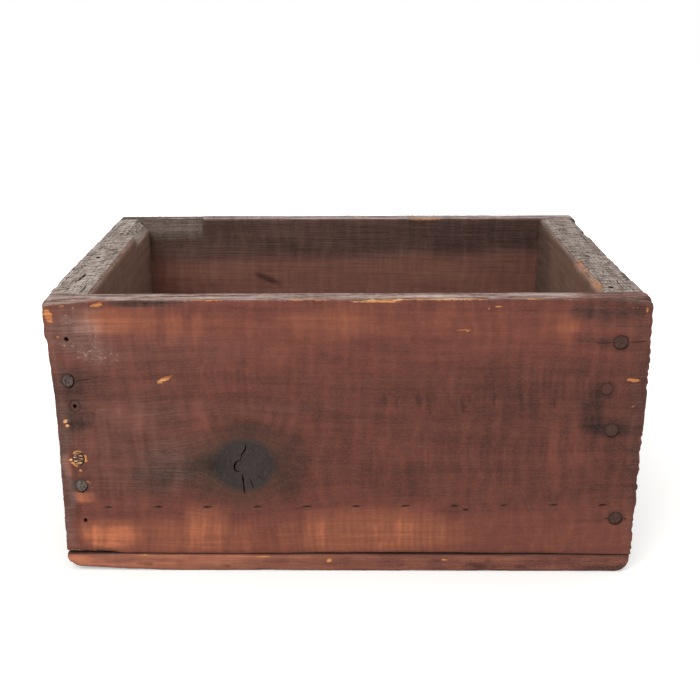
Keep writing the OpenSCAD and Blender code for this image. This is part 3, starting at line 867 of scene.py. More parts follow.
def front_openings(nails):
    """The front's openings: seats of the nails' heads, holes of pulled nails, and cracks."""
    small = np.argmin([np.hypot(*(on_front([SMALL_NAIL])[0] - nail)) for nail in nails])
    openings = [pit(x, z, SMALL_HEAD_R if k == small else SIDE_HEAD_R + HEAD_ROOM, HEAD_PIT, 0.05, 0.97,
                    k, 30)
                for k, (x, z) in enumerate(nails)]
    openings += [pit(*place, PULLED_HOLE_R, PULLED_HOLE_DEPTH, 0.15, 0.7, 20 + k, 16)
                 for k, place in enumerate(on_front(PULLED_HOLES))]
    openings += [crack(on_front(path), width, depth, k)
                 for k, (path, width, depth) in enumerate(FRONT_CRACKS)]
    return openings


def wear_front_outline(board, u, nick):
    """Rounds the front's edges, wears its ends, opens the seam under it and cuts its two bevels.

    Returns how much the bevels took off, and where a long sliver has gone from the upper edge.
    """
    z = board.places[:, 2]
    from_left, from_right = board.places[:, 0] - board.low[0], board.high[0] - board.places[:, 0]
    scallop = smooth(-0.25, 0.6, board.grown((7, 3.0, 7), 2, 2))
    board.round_edges(0.8 + 0.3 * nick, {
        "-y+z": 0.9 + 0.5 * nick, "-x-y": 0.8 + 0.4 * nick, "+x-y": 0.7 + 0.8 * scallop,
        "-y-z": 0.9 + 0.5 * nick})
    board.now[:, 0] += (np.interp(z, *LEFT_TRIM) + 0.3 * scallop) * (1 - smooth(0, 20, from_left))
    board.now[:, 0] -= (np.interp(z, *RIGHT_TRIM) + 0.9 * scallop) * (1 - smooth(0, 4, from_right))
    board.now[:, 2] += np.interp(u, *SEAM) * (1 - smooth(0, 12, z - board.low[2]))
    board.round_outline(-1, 1, 3.4)
    board.round_outline(1, 1, 4.5)
    bevels = np.zeros(len(u))
    for side, length in ((-1, LEFT_BEVEL), (1, RIGHT_BEVEL)):
        start = side * (BOX_W / 2 - length)
        gone = board.cut((start, board.low[1], top_at(start)), (side * BEVEL / length, -1, 1), 0.5)
        bevels = np.maximum(bevels, gone)
    sliver = smooth(163, 167, u) * (1 - smooth(190, 197, u))
    board.cut((0, board.low[1], top_at(0) - 1.6), (-TILT * 0.6, -0.8, 0.6), 0.3, sliver)
    return bevels, sliver


def bare_lines(board, u, bevels):
    """Thin lines of fresh wood where the arrises of the top, the bevels and the open seam are rubbed."""
    front = board.on("-y")
    rubbed = smooth(0.10, 0.2, front * board.on("+z")) * (1 - smooth(0.05, 0.2, bevels))
    rubbed = np.maximum(rubbed, 0.9 * front * smooth(0.01, 0.1, bevels) * (1 - smooth(0.25, 0.5, bevels)))
    rubbed = rubbed * smooth(0.0, 0.5, board.grown((26, 40, 40), 17, 2))
    lip = smooth(0.08, 0.18, front * board.on("-z")) * (1 - smooth(42, 64, u))
    return np.maximum(rubbed, lip * smooth(-0.2, 0.2, board.grown((8, 4, 4), 19, 2)))


def carve_front(board, u, v, nick, nails, bevels):
    """Carves the front's relief. Returns where it has dents, bare wood, rust and weathered fibres."""
    x, z = board.places[:, 0], board.places[:, 2]
    front, top = board.on("-y"), board.on("+z")
    ends = board.on("-x") + board.on("+x")
    amount = front * (0.04 + 0.04 * board.grown((30, 1.5, 1.5), 5, 2) + 0.05 * board.grown((8, 60, 9), 6))
    ragged = 0.35 * board.grown((3, 1.2, 1.2), 7, 2)
    dents = sum(1 - smooth(0.5, 1.1, spot_distance(u, v + 0.5 * nick, dent, 3) + ragged)
                for dent in FEED_DENTS)
    amount += front * 0.6 * dents
    bare = np.zeros(len(u))
    for at_u, at_v, half_u, half_v, turn, depth in CHIPS:
        near = spot_distance(u, v, (at_u, at_v, half_u, half_v), turn) + ragged
        amount += (front + top) * depth * (1 - smooth(0.6, 1.15, near))
        palest = 1.6 if at_u < 8 and at_v < 100 else 1
        bare = np.maximum(bare, palest * (1 - smooth(0.6, 1.2, near)))
    bare = np.maximum(bare, bare_lines(board, u, bevels))
    rust = np.zeros(len(u))
    for nail_x, nail_z in nails:
        near = np.hypot(x - nail_x, z - nail_z)
        amount += front * 0.2 * (1 - smooth(3.6, 7.5, near))
        rust = np.maximum(rust, 0.35 * (1 - smooth(3.6, 6.5, near + 1.6 * nick)))
        bare *= smooth(4.0, 4.5, near)
    near = np.hypot(u - TORN_NAIL[0], v - TORN_NAIL[1])
    torn_ring = smooth(3.9, 4.3, near) * (1 - smooth(5.0, 6.2, near + 2 * ragged))
    bare = np.maximum(bare, 1.2 * torn_ring * smooth(-0.2, 0.2, board.grown((3.5, 3.5, 3.5), 18)))
    print_u, print_v = PRINTED_HOLE
    near = np.hypot(u - print_u, v - print_v)
    amount += front * 0.4 * smooth(1.5, 2.2, near) * (1 - smooth(3.4, 4.2, near))
    rust = np.maximum(rust, 0.8 * smooth(2.8, 3.3, near) * (1 - smooth(3.8, 4.4, near)))
    weathering = board.grown((24, 1.1, 1.1), 8, 2)
    amount += top * 0.2 * (1 + weathering) + ends * 0.1 * (1 + nick)
    board.carve(amount)
    return dents, bare, rust, weathering


def make_front_board(finish):
    """The front board: planed and shellacked, with a knot, nail holes, chips and a feed roller's dents."""
    board = Board("front_board", along=0, across=2, seed=11)
    nails = [(x, z) for x, _, z in nail_places(FRONT_NAILS)]
    board.face("-y", (1.35, 1.0), front_openings(nails), FRONT_ZONES)
    board.face("+y", 2.4)
    board.face("+z", (1.0, 0.75))
    board.face("-z", 1.6)
    board.face("-x", 0.9)
    board.face("+x", 0.9)
    board.finish_shape()
    z = board.places[:, 2]
    u, v = along_front(board.places[:, 0], z)
    nick = board.grown((9, 4, 4), 1, 3)
    bevels, sliver = wear_front_outline(board, u, nick)
    dents, bare, rust, weathering = carve_front(board, u, v, nick, nails, bevels)
    front, inner, top = board.on("-y"), board.on("+y"), board.on("+z")
    ends = board.on("-x") + board.on("+x")
    board.splinter(0.001 * top + sliver * smooth(0.1, 0.6, front * top * 4), 16, 6, 0.8, "face_board")
    more_tone, more_grey = stains(board, u, v, FRONT_STAINS, 9)
    streaks = sum(1 - smooth(0.4, 1.3, spot_distance(u + 0.12 * (v - 104) + 0.6 * nick, v, streak))
                  for streak in TEAR_OUTS)
    more_tone -= 0.14 * streaks
    scratched = sum(1 - smooth(0.5, 1.2, spot_distance(u + 2 * nick, v, scratch)) for scratch in SCRATCHES)
    height = np.interp(v, *TONE_UP)
    fall = np.interp(u, *TONE_ALONG)
    strip = 1 - smooth(280, 292, u)
    tone = front * (height + fall + more_tone) + inner * 0.42 + ends * 0.36
    tone = tone + top * (0.42 + 0.24 * strip - 0.3 * weathering)
    tone += board.on("-z") * 0.4
    grey = front * (more_grey + 0.02) + inner * 0.12 + ends * 0.35 + top * (0.3 + 0.38 * strip)
    worn = smooth(0.15, 0.8, bevels)
    tone += (np.where(u > 200, 0.29, 0.68) - 0.25 * weathering - tone) * worn
    grey += (np.where(u > 200, 0.3, 0.62) - grey) * worn
    rib = front * 0.5 * smooth(0.02, 0.14, more_tone) * (1 - 0.6 * smooth(38, 44, v))
    # Painted shade: the open seam under the board's lower edge is darkened as if in shadow
    painted_seam_shade = 1 - smooth(0.1, 1.1, z - board.low[2] - np.interp(u, *SEAM))
    lobe = 1 - smooth(0.3, 1.3, spot_distance(u + 3 * nick, v, KNOT_LOBE))
    # Dirt in the dents, rust by the nails and the knot's dark lobe, with painted shade in the openings and the
    # seam
    grime_and_shade = cavity(board) + front * (1.1 * dents + 0.9 * rust + 0.5 * lobe) + 0.12 * worn + 0.35 * painted_seam_shade
    values = {
        "tone": tone, "crisp": front * 0.33 + inner * 0.7 + top * 1.3 + ends * 0.5, "grey": grey,
        "grime_and_shade": grime_and_shade, "bare": bare, "rib": rib, "scuff": front * 0.05,
        "scratch": front * (0.05 + 1.5 * np.minimum(scratched, 1))}
    return board.mesh("front_board_worn", finish, values, [KNOT], (70, 52), (u, v))


# The back's broken inside edge: how far it runs from the left end, its width and its depth
BACK_BREAK, BACK_BREAK_W, BACK_BREAK_D = 61, 4, 9
# Cracks of the back's outside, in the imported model's frame: path, width
BACK_CRACKS = [([(46, 51), (48.6, 55), (49.4, 58.6)], 0.6), ([(48.4, 49.6), (53.4, 46.6)], 0.45)]
# A dark blot inside, from the board's left end: place, half length, half height
BACK_BLOT = (107, 119, 9, 2.5)


def make_back_board(finish):
    """The back board, with its top inside edge broken away beside the left end board."""
    board = Board("back_board", along=0, across=2, seed=23, edge_pitch=1.2)
    left = board.low[0]
    nails = [(x, z) for x, _, z in nail_places(BACK_NAILS)]
    openings = [pit(x, z, SIDE_HEAD_R + HEAD_ROOM, HEAD_PIT, 0.07, 0.95, 40 + k, 30)
                for k, (x, z) in enumerate(nails)]
    openings.append(crack([(left + 20, 88), (left + 44, 88.8), (left + 71, 88.2)], 0.7, 3, 5))
    openings += [crack(path, width, 2, k) for k, (path, width) in enumerate(BACK_CRACKS)]
    board.face("+y", (1.8, 1.3), openings)
    board.face("-y", (1.7, 1.3))
    board.face("+z", (1.0, 0.8))
    board.face("-z", 2.2)
    board.face("-x", 1.1)
    board.face("+x", 1.1)
    board.finish_shape()
    u, z = board.places[:, 0] - left, board.places[:, 2]
    nick = board.grown((9, 4, 4), 1, 3)
    board.round_edges(1.0 + 0.35 * nick, {
        "+y+z": 1.5 + 0.8 * nick, "-y+z": 1.1 + 0.6 * nick, "-x+y": 1.6 + 0.6 * nick,
        "+x+y": 1.6 + 0.6 * nick})
    board.round_outline(-1, 1, 5.5)
    board.round_outline(1, 1, 4)
    broken = 1 - smooth(BACK_BREAK - 0.7, BACK_BREAK + 0.5, u)
    edge = np.array([left, board.low[1], top_at(left)])
    board.cut(edge + (0, BACK_BREAK_W, 0), (-TILT * BACK_BREAK_W, -BACK_BREAK_D, BACK_BREAK_W), 1.0, broken)
    board.cut(edge + (0, 0, -0.6), (-TILT, 0, 1), 0.5, broken)

    outer, inner, top = board.on("+y"), board.on("-y"), board.on("+z")
    ends = board.on("-x") + board.on("+x")
    amount = outer * (0.06 + 0.06 * board.grown((30, 1.5, 1.5), 5, 2)) + ends * 0.25 * (1 + nick)
    amount += top * (0.2 + 0.2 * board.grown((24, 0.9, 0.9), 8, 2)) + inner * 0.08
    rust = np.zeros(len(u))
    for x, nail_z in nails:
        near = np.hypot(u + left - x, z - nail_z)
        amount += outer * 0.4 * (1 - smooth(3.6, 8.5, near))
        rust = np.maximum(rust, 1 - smooth(3.6, 7.0, near + 2 * nick))
    board.carve(amount)
    fibres = broken * smooth(0.02, 0.3, inner * top + 0.001 * inner) * smooth(150, 155, z)
    board.splinter(fibres + 1e-6, 44, 7, 0.15, "face_board")

    # Inside, the back is darker towards its top, and grey beside the break
    patch = (1 - smooth(BACK_BREAK - 1, BACK_BREAK + 1, u)) * smooth(145, 149, z + 2 * nick)
    dark = smooth(127, 139, z - 0.02 * u + 5 * board.grown((50, 14, 14), 12, 3))
    inside = 0.63 - 0.31 * dark - 0.05 * smooth(180, 260, u) + 0.08 * board.grown((40, 14, 14), 16, 2)
    tone = outer * (0.36 + 0.12 * board.grown((120, 22, 22), 14, 2)) + top * (0.62 - 0.3 * patch)
    tone += inner * inside + ends * 0.36
    tone += board.on("-z") * 0.4
    grey = outer * (0.12 + 0.15 * board.grown((80, 30, 30), 15)) + top * 0.85
    grey += inner * (0.2 + 0.2 * dark) + ends * 0.4
    grey = np.maximum(grey, 0.85 * patch * (1 - outer))
    tone = np.where(patch * (1 - outer) > 0.5, 0.36, tone)
    grime_and_shade = cavity(board) + outer * 0.9 * rust + inner * (0.06 + 0.1 * dark)
    blot = 1 - smooth(0.4, 1.4, spot_distance(u + 3 * nick, z + 0.4 * (u - BACK_BLOT[0]), BACK_BLOT))
    grime_and_shade += inner * 0.8 * blot
    arris = smooth(0.12, 0.22, inner * top) * (1 - broken)
    arris = arris * smooth(0.1, 0.6, board.grown((30, 40, 40), 17, 2))
    values = {
        "tone": tone, "crisp": outer * 0.6 + inner * 0.3 + top + ends * 0.5, "grey": grey, "grime_and_shade": grime_and_shade,
        "bare": arris, "scuff": 0.15 * outer + 0.08 * inner, "scratch": 0.8 * inner * patch}
    return board.mesh("back_board_worn", finish, values, [(48, -38, 10, 1.2)], (-10, 48))


# On the end boards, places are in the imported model's frame
LID_HOLES = {"left": [(-151.4, 51), (-153.2, -15.7)], "right": [(147.2, -15.7), (144.4, -88.2)]}
# Cracks in the tops: path, width, depth, seed
TOP_CRACKS = {
    "left": [([(-153.7, -75.2), (-152.6, -65), (-152.4, -53.4)], 1.7, 1.3, 4),
             ([(-146.5, -96.5), (-146, -88), (-146.6, -80)], 0.7, 2.5, 7)],
    "right": [([(151, -90), (150.4, -80), (151.4, -72)], 0.4, 1.2, 4),
              ([(155.5, 20), (155.9, 32), (155.2, 44)], 0.4, 1.2, 9)]}
# Distance between the saw's marks on the tops
SAW_PITCH = 5.2


def make_end_board(side, finish):
    """An end board: sawn and weathered on top, with the holes of a lost lid's nails.

    Its inside edge is broken away at the left end's back, and torn in a strip along the right end's front.
    """
    left = side == "left"
    board = Board(side + "_end_board", along=1, across=2, seed=31 if left else 37, edge_pitch=1.0)
    inner_face, outer_face = ("+x", "-x") if left else ("-x", "+x")
    inner_x, outer_x = (board.high[0], board.low[0]) if left else (board.low[0], board.high[0])
    inward = 1 if left else -1
    openings = [pit(x, y, 1.5, 8, 0.2, 0.7, k, 16, (0.9, 1.5 if k else 1.1))
                for k, (x, y) in enumerate(LID_HOLES[side])]
    openings += [crack(*found) for found in TOP_CRACKS[side]]
    board.face("+z", (0.7, 0.85), openings)
    for key in ("-x", "+x"):
        board.face(key, (1.7, 1.3) if key == outer_face else (2.3, 1.9))
    board.face("-y", 1.8)
    board.face("+y", 1.8)
    board.face("-z", 2.2)
    board.finish_shape()
    x, y, z = board.places.T
    nick = board.grown((10, 4, 4), 1, 3)
    wave = board.grown((26, 12, 12), 2, 2)
    board.round_edges(0.6 + 0.25 * nick, {
        inner_face + "+z": 1.6 + 0.4 * nick, outer_face + "+z": 1.0 + 0.7 * wave + 0.6 * nick})
    beside_outer = 1 - smooth(0, 8, np.abs(x - outer_x))
    if left:
        board.now[:, 0] += 1.8 * smooth(-60, 100, y) * smooth(8, 0, board.high[2] - z) * beside_outer
    else:
        board.now[:, 0] -= 0.8 * smooth(-0.3, 0.5, wave) * smooth(8, 0, top_at(x) - z) * beside_outer
    lumps = smooth(-0.2, 0.6, board.grown((8, 3, 3), 20, 2)) * smooth(5, 0, top_at(x) - z)
    board.now[:, 0] += 0.8 * inward * lumps * (1 - smooth(0, 5, np.abs(x - outer_x)))
    board.round_outline(inward, 1, 3.0)
    if left:
        mask = smooth(36, 66, y + 5 * nick)
        torn = board.cut((inner_x - 8, 0, top_at(inner_x)), (1, 0, 1), 1.1, mask)
    else:
        mask = smooth(-94, -88, y + 3 * nick) * (1 - smooth(-26, -18, y + 5 * nick))
        wander = 1.1 * board.grown((9, 5, 5), 21, 3)
        torn = board.cut((inner_x + 3.4, 0, top_at(inner_x)), (-1.1, 0, 1), 0.9, mask, sway=wander)

    top, outer, inner = board.on("+z"), board.on(outer_face), board.on(inner_face)
    ends = board.on("-y") + board.on("+y")
    across = (0.83 * y - 0.55 * x) if left else (0.98 * y + 0.2 * x)
    saw = 0.5 + 0.5 * np.sin(across * 2 * np.pi / SAW_PITCH + 2.2 * board.grown((20, 20, 20), 5, 2))
    strong = smooth(-0.3, 0.5, board.grown((30, 12, 12), 6))
    amount = top * (0.3 * (1 - saw) * strong + 0.14 * (1 + board.grown((18, 0.9, 0.9), 8, 2)))
    pits = smooth(0.3, 0.75, board.grown((4, 1.8, 1.8), 9, 2))
    amount += top * (0.3 if left else 0.6) * pits
    amount += outer * (0.1 + 0.1 * board.grown((30, 1.5, 1.5), 10, 2)) + inner * 0.06
    board.carve(amount)
    fuzz = smooth(0.3, 1.2, torn)
    board.splinter(fuzz + 1e-6, 34 if left else 70, 5.5, 0.1 if left else 0.55, "end_board")

    streak = board.grown((70, 2.6, 2.6), 12, 2)
    tone = top * ((0.71 if left else 0.64) + 0.26 * streak + 0.1 * smooth(30, 80, y))
    tone = tone + outer * (0.36 + 0.1 * board.grown((90, 20, 20), 14, 2))
    grey = top * 0.95 + outer * (0.25 + 0.2 * board.grown((60, 30, 30), 15)) + inner * 0.2 + ends * 0.4
    if left:
        tone += inner * (0.61 - 0.08 * smooth(70, 96, y))
        grey += inner * (0.1 * smooth(60, 96, y))
    else:
        # Painted shadow: behind a slanting edge the inside face is darker and greyer towards the back
        painted_shadow = smooth(45, 62, y + 0.3 * (150 - z))
        tone += inner * (0.60 - 0.2 * painted_shadow)
        grey += inner * (0.16 * painted_shadow)
    tone += ends * 0.4 + board.on("-z") * 0.4
    grime_and_shade = cavity(board) + top * ((0.5 if left else 0.8) * pits + 0.34 * (1 - saw) * strong)
    if left:
        arris = smooth(0.10, 0.2, inner * top)
        grey = np.maximum(grey, 0.9 * fuzz)
        bare = 0.62 * arris * smooth(0.15, 0.5, board.grown((30, 30, 30), 17, 2)) * (1 - mask)
        grey *= 1 - 0.6 * arris * (1 - mask)
    else:
        bare = 0.42 * fuzz * (1 + 0.9 * board.grown((10, 1.6, 1.6), 16, 2))
        grey *= 1 - 0.75 * fuzz
        tone += 0.3 * fuzz
        grime_and_shade += 0.12 * top * (1 - fuzz)
    crisp = top * np.interp(y, [-60, 40], [0.75, 0.42]) + inner * 0.35 + outer * 0.8 + ends * 0.5
    knots = [] if left else [(40, -12, 9, 1.15)]
    values = {"tone": tone, "crisp": crisp, "grey": grey, "grime_and_shade": grime_and_shade, "bare": bare,
              "scuff": top + 0.12 * outer}
    return board.mesh(side + "_end_board_worn", finish, values, knots, (6, 40 * inward))


# Chips of the wide plank's front edge, from its left end: place, half length, half height
PLANK_CHIPS = [(150.5, 7, 1.8, 1.5), (217, 7.4, 2.2, 0.7), (112, 9.3, 5, 0.5), (44, 10, 3, 0.3)]
# How far the wide plank's front edge is worn up, and the edge's tone, by place along the plank
PLANK_WORN = ([0, 24, 53], [2.6, 1.45, 0])
PLANK_TONE = ([0, 60, 170, 260, 324], [0.80, 0.80, 0.62, 0.53, 0.43])


def make_plank(name, node, finish, seed):
    """A bottom plank: its front edge and its lower corners are worn, and its underside is rough sawn."""
    board = Board(node, along=0, across=1, seed=seed, edge_pitch=1.1)
    wide = node == "bottom_wide_plank"
    low_x, low_y = board.low[:2]
    high_x, high_y = board.high[:2]
    under = [(x, y) for x, y, _ in nail_places(BOTTOM_NAILS) if low_y < y < high_y]
    openings = [pit(x, y, BOTTOM_HEAD_R + HEAD_ROOM, BOTTOM_HEAD_PIT, 0.07, 0.95, 60 + k, 26)
                for k, (x, y) in enumerate(under)]
    if wide:
        openings.append(crack([(low_x + 12, -40), (low_x + 60, -41.5), (low_x + 108, -40.4)], 0.8, 3, 3))
    board.face("-z", (2.2, 1.7), openings, [(low_x, low_y, low_x + 11, high_y, 1.1),
                                            (high_x - 11, low_y, high_x, high_y, 1.1)])
    board.face("+z", (2.6, 2.0))
    board.face("-y", (0.95, 0.7) if wide else 1.8)
    board.face("+y", 1.8 if wide else (1.2, 0.9))
    board.face("-x", 1.0)
    board.face("+x", 1.0)
    board.finish_shape()
    x, y, z = board.places.T
    u = x - low_x
    nick = board.grown((9, 4, 4), 1, 3)
    wave = board.grown((60, 20, 20), 2, 2)
    board.round_edges(0.8 + 0.25 * nick, {
        "-y+z": 0.8 + 0.4 * nick + 0.3 * wave, "-y-z": 0.8 + 0.3 * wave + 0.3 * nick,
        "+y-z": 1.2 + 0.4 * nick})
    worn_up = np.interp(u, *PLANK_WORN) * (1 - smooth(0, 60, y - low_y)) * wide
    worn_up += 0.35 * smooth(-0.2, 0.7, board.grown((22, 12, 12), 18, 2)) * (1 - smooth(0, 14, y - low_y))
    board.round_outline(-1, -1, 8)
    board.round_outline(1, -1, 8.5)
    board.now[:, 2] += worn_up * (1 - z / board.high[2])

    under_side, upper, edge = board.on("-z"), board.on("+z"), board.on("-y")
    saw = 0.5 + 0.5 * np.sin(x * 2 * np.pi / 5 + 0.12 * y + 1.5 * board.grown((40, 40, 40), 5))
    amount = under_side * (0.14 * saw + 0.12 * (1 + board.grown((30, 1.8, 1.8), 8, 2)))
    amount += edge * (0.16 + 0.16 * board.grown((26, 1.1, 1.1), 9, 2)) * wide
    bare = np.zeros(len(u))
    ragged = 0.3 * board.grown((3, 1.2, 1.2), 7, 2)
    for chip in PLANK_CHIPS if wide else []:
        near = spot_distance(u, z, chip) + ragged
        amount += edge * 0.5 * (1 - smooth(0.6, 1.15, near))
        bare = np.maximum(bare, 1.3 * edge * (1 - smooth(0.6, 1.2, near)))
    board.carve(amount)

    ends = board.on("-x") + board.on("+x")
    cloudy = 0.2 * board.grown((40, 3, 3), 12, 2)
    cloudier = 0.14 * board.grown((13, 7, 7), 13, 2)
    tone = edge * (np.interp(u, *PLANK_TONE) + cloudy + cloudier) + under_side * (0.55 + 0.2 * wave)
    tone += upper * 0.4 + ends * 0.36 + board.on("+y") * 0.4
    grey = edge * 0.08 + under_side * 0.62 + upper * 0.3 + ends * 0.25
    # Painted shade at the edge's top, under the seam, and at its foot by the floor, with patches of real dirt
    edge_grime_and_shade = 0.25 * smooth(9.8, 10.8, z) + 0.25 * (1 - smooth(0.5, 3, z))
    edge_grime_and_shade = edge_grime_and_shade + 0.45 * smooth(0.3, 0.6, board.grown((10, 4, 4), 15, 2))
    grime_and_shade = cavity(board) + edge * edge_grime_and_shade
    # Painted shade on the plank's top where the front board's seam lies over it
    plank_seam_shade = (1 - smooth(11, 13, y - low_y)) * wide
    grime_and_shade += under_side * 0.3 * (1 - saw) + upper * (0.2 + 0.5 * plank_seam_shade)
    values = {"tone": tone, "crisp": edge * 0.5 + (1 - edge), "grey": grey, "grime_and_shade": grime_and_shade, "bare": bare,
              "scuff": 0.25 * under_side + 0.1 * edge}
    return board.mesh(name, finish, values, [(70, 20, 9, 1.2)] if wide else [], (0, 44))


# Slivers and nails, by Geometry Nodes

def torn_pine():
    """Pine torn open along its fibres: pale and warm where it is fresh, grey where it has weathered."""
    material, tree = new_material("pine_torn_fibres")
    fresh = add(tree, "ShaderNodeAttribute", {}, out="Fac", attribute_name="fresh")
    place = add(tree, "ShaderNodeTexCoord", {}, out="Object")
    grit = add(tree, "ShaderNodeTexNoise", {"Vector": place, "Scale": 1 / (1.5 * MM), "Detail": 2})
    mixed = add(tree, "ShaderNodeMath", {0: grit, 1: 0.5, 2: fresh}, operation="MULTIPLY_ADD")
    colour = add(tree, "ShaderNodeValToRGB", {0: mixed}, stops=TORN_TONES)
    bump = add(tree, "ShaderNodeBump", {"Height": grit, "Strength": 0.5, "Distance": 0.1 * MM})
    shader = add(tree, "ShaderNodeBsdfPrincipled",
                 {"Base Color": colour, "Roughness": 0.85, "Normal": bump, "Specular IOR Level": 0.1})
    add(tree, "ShaderNodeOutputMaterial", {"Surface": shader})
    return material


def rusted_wire_nail():
    """Wire nail steel, cold headed and rusted: dark brown scale, with bare metal where heads were struck."""
    material, tree = new_material("wire_nail_steel_rusted")
    place = add(tree, "ShaderNodeTexCoord", {}, out="Object")
    scale = add(tree, "ShaderNodeTexNoise", {"Vector": place, "Scale": 1 / (1.6 * MM), "Detail": 4})
    grit = add(tree, "ShaderNodeTexNoise", {"Vector": place, "Scale": 1 / (0.5 * MM), "Detail": 2})
    mixed = add(tree, "ShaderNodeMath", {0: grit, 1: 0.5, 2: scale}, operation="MULTIPLY_ADD")
    colour = add(tree, "ShaderNodeValToRGB", {0: mixed}, stops=RUST_TONES)
    struck = add(tree, "ShaderNodeAttribute", {}, out="Fac", attribute_name="struck")
    shine = add(tree, "ShaderNodeMath", {0: scale, 1: struck}, operation="MULTIPLY")
    shine = add(tree, "ShaderNodeMapRange", {0: shine, 1: 0.3, 2: 0.55, 3: 0, 4: 1})
    rough = add(tree, "ShaderNodeMapRange", {0: shine, 1: 0, 2: 1, 3: 0.8, 4: 0.5})
    colour = add(tree, "ShaderNodeMix", {0: shine, 6: colour, 7: linear(BARE_STEEL)}, out=2,
                 data_type="RGBA")
    coat = add(tree, "ShaderNodeMath", {0: struck, 1: -1}, operation="MULTIPLY", use_clamp=True)
    colour = add(tree, "ShaderNodeMix", {0: coat, 6: colour, 7: linear(COATED_STEEL)}, out=2,
                 data_type="RGBA")
    bump = add(tree, "ShaderNodeBump", {"Height": mixed, "Strength": 0.5, "Distance": 0.25 * MM})
    shader = add(tree, "ShaderNodeBsdfPrincipled",
                 {"Base Color": colour, "Roughness": rough, "Metallic": shine, "Normal": bump,
                  "Specular IOR Level": 0.2})
    add(tree, "ShaderNodeOutputMaterial", {"Surface": shader})
    return material


def new_shape_tree(name, sockets):
    """A node tree with a geometry socket and further named inputs (name, kind). Returns it and its inputs."""
    tree = bpy.data.node_groups.new(name, "GeometryNodeTree")
    for label, kind in [("Geometry", "Geometry"), *sockets]:
        tree.interface.new_socket(label, in_out="INPUT", socket_type="NodeSocket" + kind)
    tree.interface.new_socket("Geometry", in_out="OUTPUT", socket_type="NodeSocketGeometry")
    return tree, tree.nodes.new("NodeGroupInput").outputs


def hand_out(tree, shape, size, amount, material):
    """Bends a shape by noise of a size in mm and by an amount, and hands it out with its material."""
    sway = add(tree, "ShaderNodeTexNoise", {"Scale": 1 / (size * MM), "Detail": 1}, out="Color")
    sway = add(tree, "ShaderNodeVectorMath", {0: sway, 1: (0.5, 0.5, 0.5)}, operation="SUBTRACT")
    sway = add(tree, "ShaderNodeVectorMath", {0: sway, "Scale": amount}, operation="SCALE")
    bent = add(tree, "GeometryNodeSetPosition", {"Geometry": shape, "Offset": sway})
    coated = add(tree, "GeometryNodeSetMaterial", {"Geometry": bent, "Material": material})
    tree.links.new(coated, tree.nodes.new("NodeGroupOutput").inputs[0])


def sliver_tree():
    """Lays a sliver of wood at each point of a mesh, the way and as long as the point's attributes say."""
    tree, given = new_shape_tree("torn_slivers", [
        ("Least Width", "Float"), ("Most Width", "Float"), ("Bend", "Float"), ("Seed", "Int"),
        ("Wood", "Material")])
    sliver = add(tree, "GeometryNodeMeshCone",
                 {"Vertices": 5, "Side Segments": 4, "Radius Top": 0.06, "Radius Bottom": 0.5, "Depth": 1})
    way = add(tree, "GeometryNodeInputNamedAttribute", {"Name": "way"}, data_type="FLOAT_VECTOR")
    long = add(tree, "ShaderNodeVectorMath", {0: way}, out="Value", operation="LENGTH")
    width = add(tree, "FunctionNodeRandomValue",
                {2: given["Least Width"], 3: given["Most Width"], "Seed": given["Seed"]}, out=1)
    thin = add(tree, "ShaderNodeMath", {0: width, 1: 0.6}, operation="MULTIPLY")
    size = add(tree, "ShaderNodeCombineXYZ", {0: width, 1: thin, 2: long})
    turn = add(tree, "FunctionNodeAlignRotationToVector", {"Vector": way}, axis="Z")
    placed = add(tree, "GeometryNodeInstanceOnPoints",
                 {"Points": given["Geometry"], "Instance": sliver, "Rotation": turn, "Scale": size})
    real = add(tree, "GeometryNodeRealizeInstances", {"Geometry": placed})
    hand_out(tree, real, 3, given["Bend"], given["Wood"])
    return tree


def domed_head(tree, given):
    """A nail's head, its rim lower than its middle."""
    head = add(tree, "GeometryNodeMeshCylinder",
               {"Vertices": 28, "Side Segments": 2, "Fill Segments": 5, "Radius": given["Head Radius"],
                "Depth": given["Head Thickness"]})
    place = add(tree, "GeometryNodeInputPosition", {})
    flat = add(tree, "ShaderNodeVectorMath", {0: place, 1: (1, 1, 0)}, operation="MULTIPLY")
    reach = add(tree, "ShaderNodeVectorMath", {0: flat}, out="Value", operation="LENGTH")
    share = add(tree, "ShaderNodeMath", {0: reach, 1: given["Head Radius"]}, operation="DIVIDE")
    share = add(tree, "ShaderNodeMath", {0: share, 1: 4}, operation="POWER")
    share = add(tree, "ShaderNodeMath", {0: share, 1: given["Dome"]}, operation="MULTIPLY")
    fall = add(tree, "ShaderNodeCombineXYZ", {2: share})
    height = add(tree, "ShaderNodeSeparateXYZ", {0: place}, out="Z")
    outer = add(tree, "FunctionNodeCompare", {0: height, 1: 0}, operation="LESS_THAN")
    return add(tree, "GeometryNodeSetPosition", {"Geometry": head, "Selection": outer, "Offset": fall})


def raised(tree, shape, height, share=1):
    """A shape moved along the nail by a share of a height."""
    if share != 1:
        height = add(tree, "ShaderNodeMath", {0: height, 1: share}, operation="MULTIPLY")
    shift = add(tree, "ShaderNodeCombineXYZ", {2: height})
    return add(tree, "GeometryNodeTransform", {"Geometry": shape, "Translation": shift})


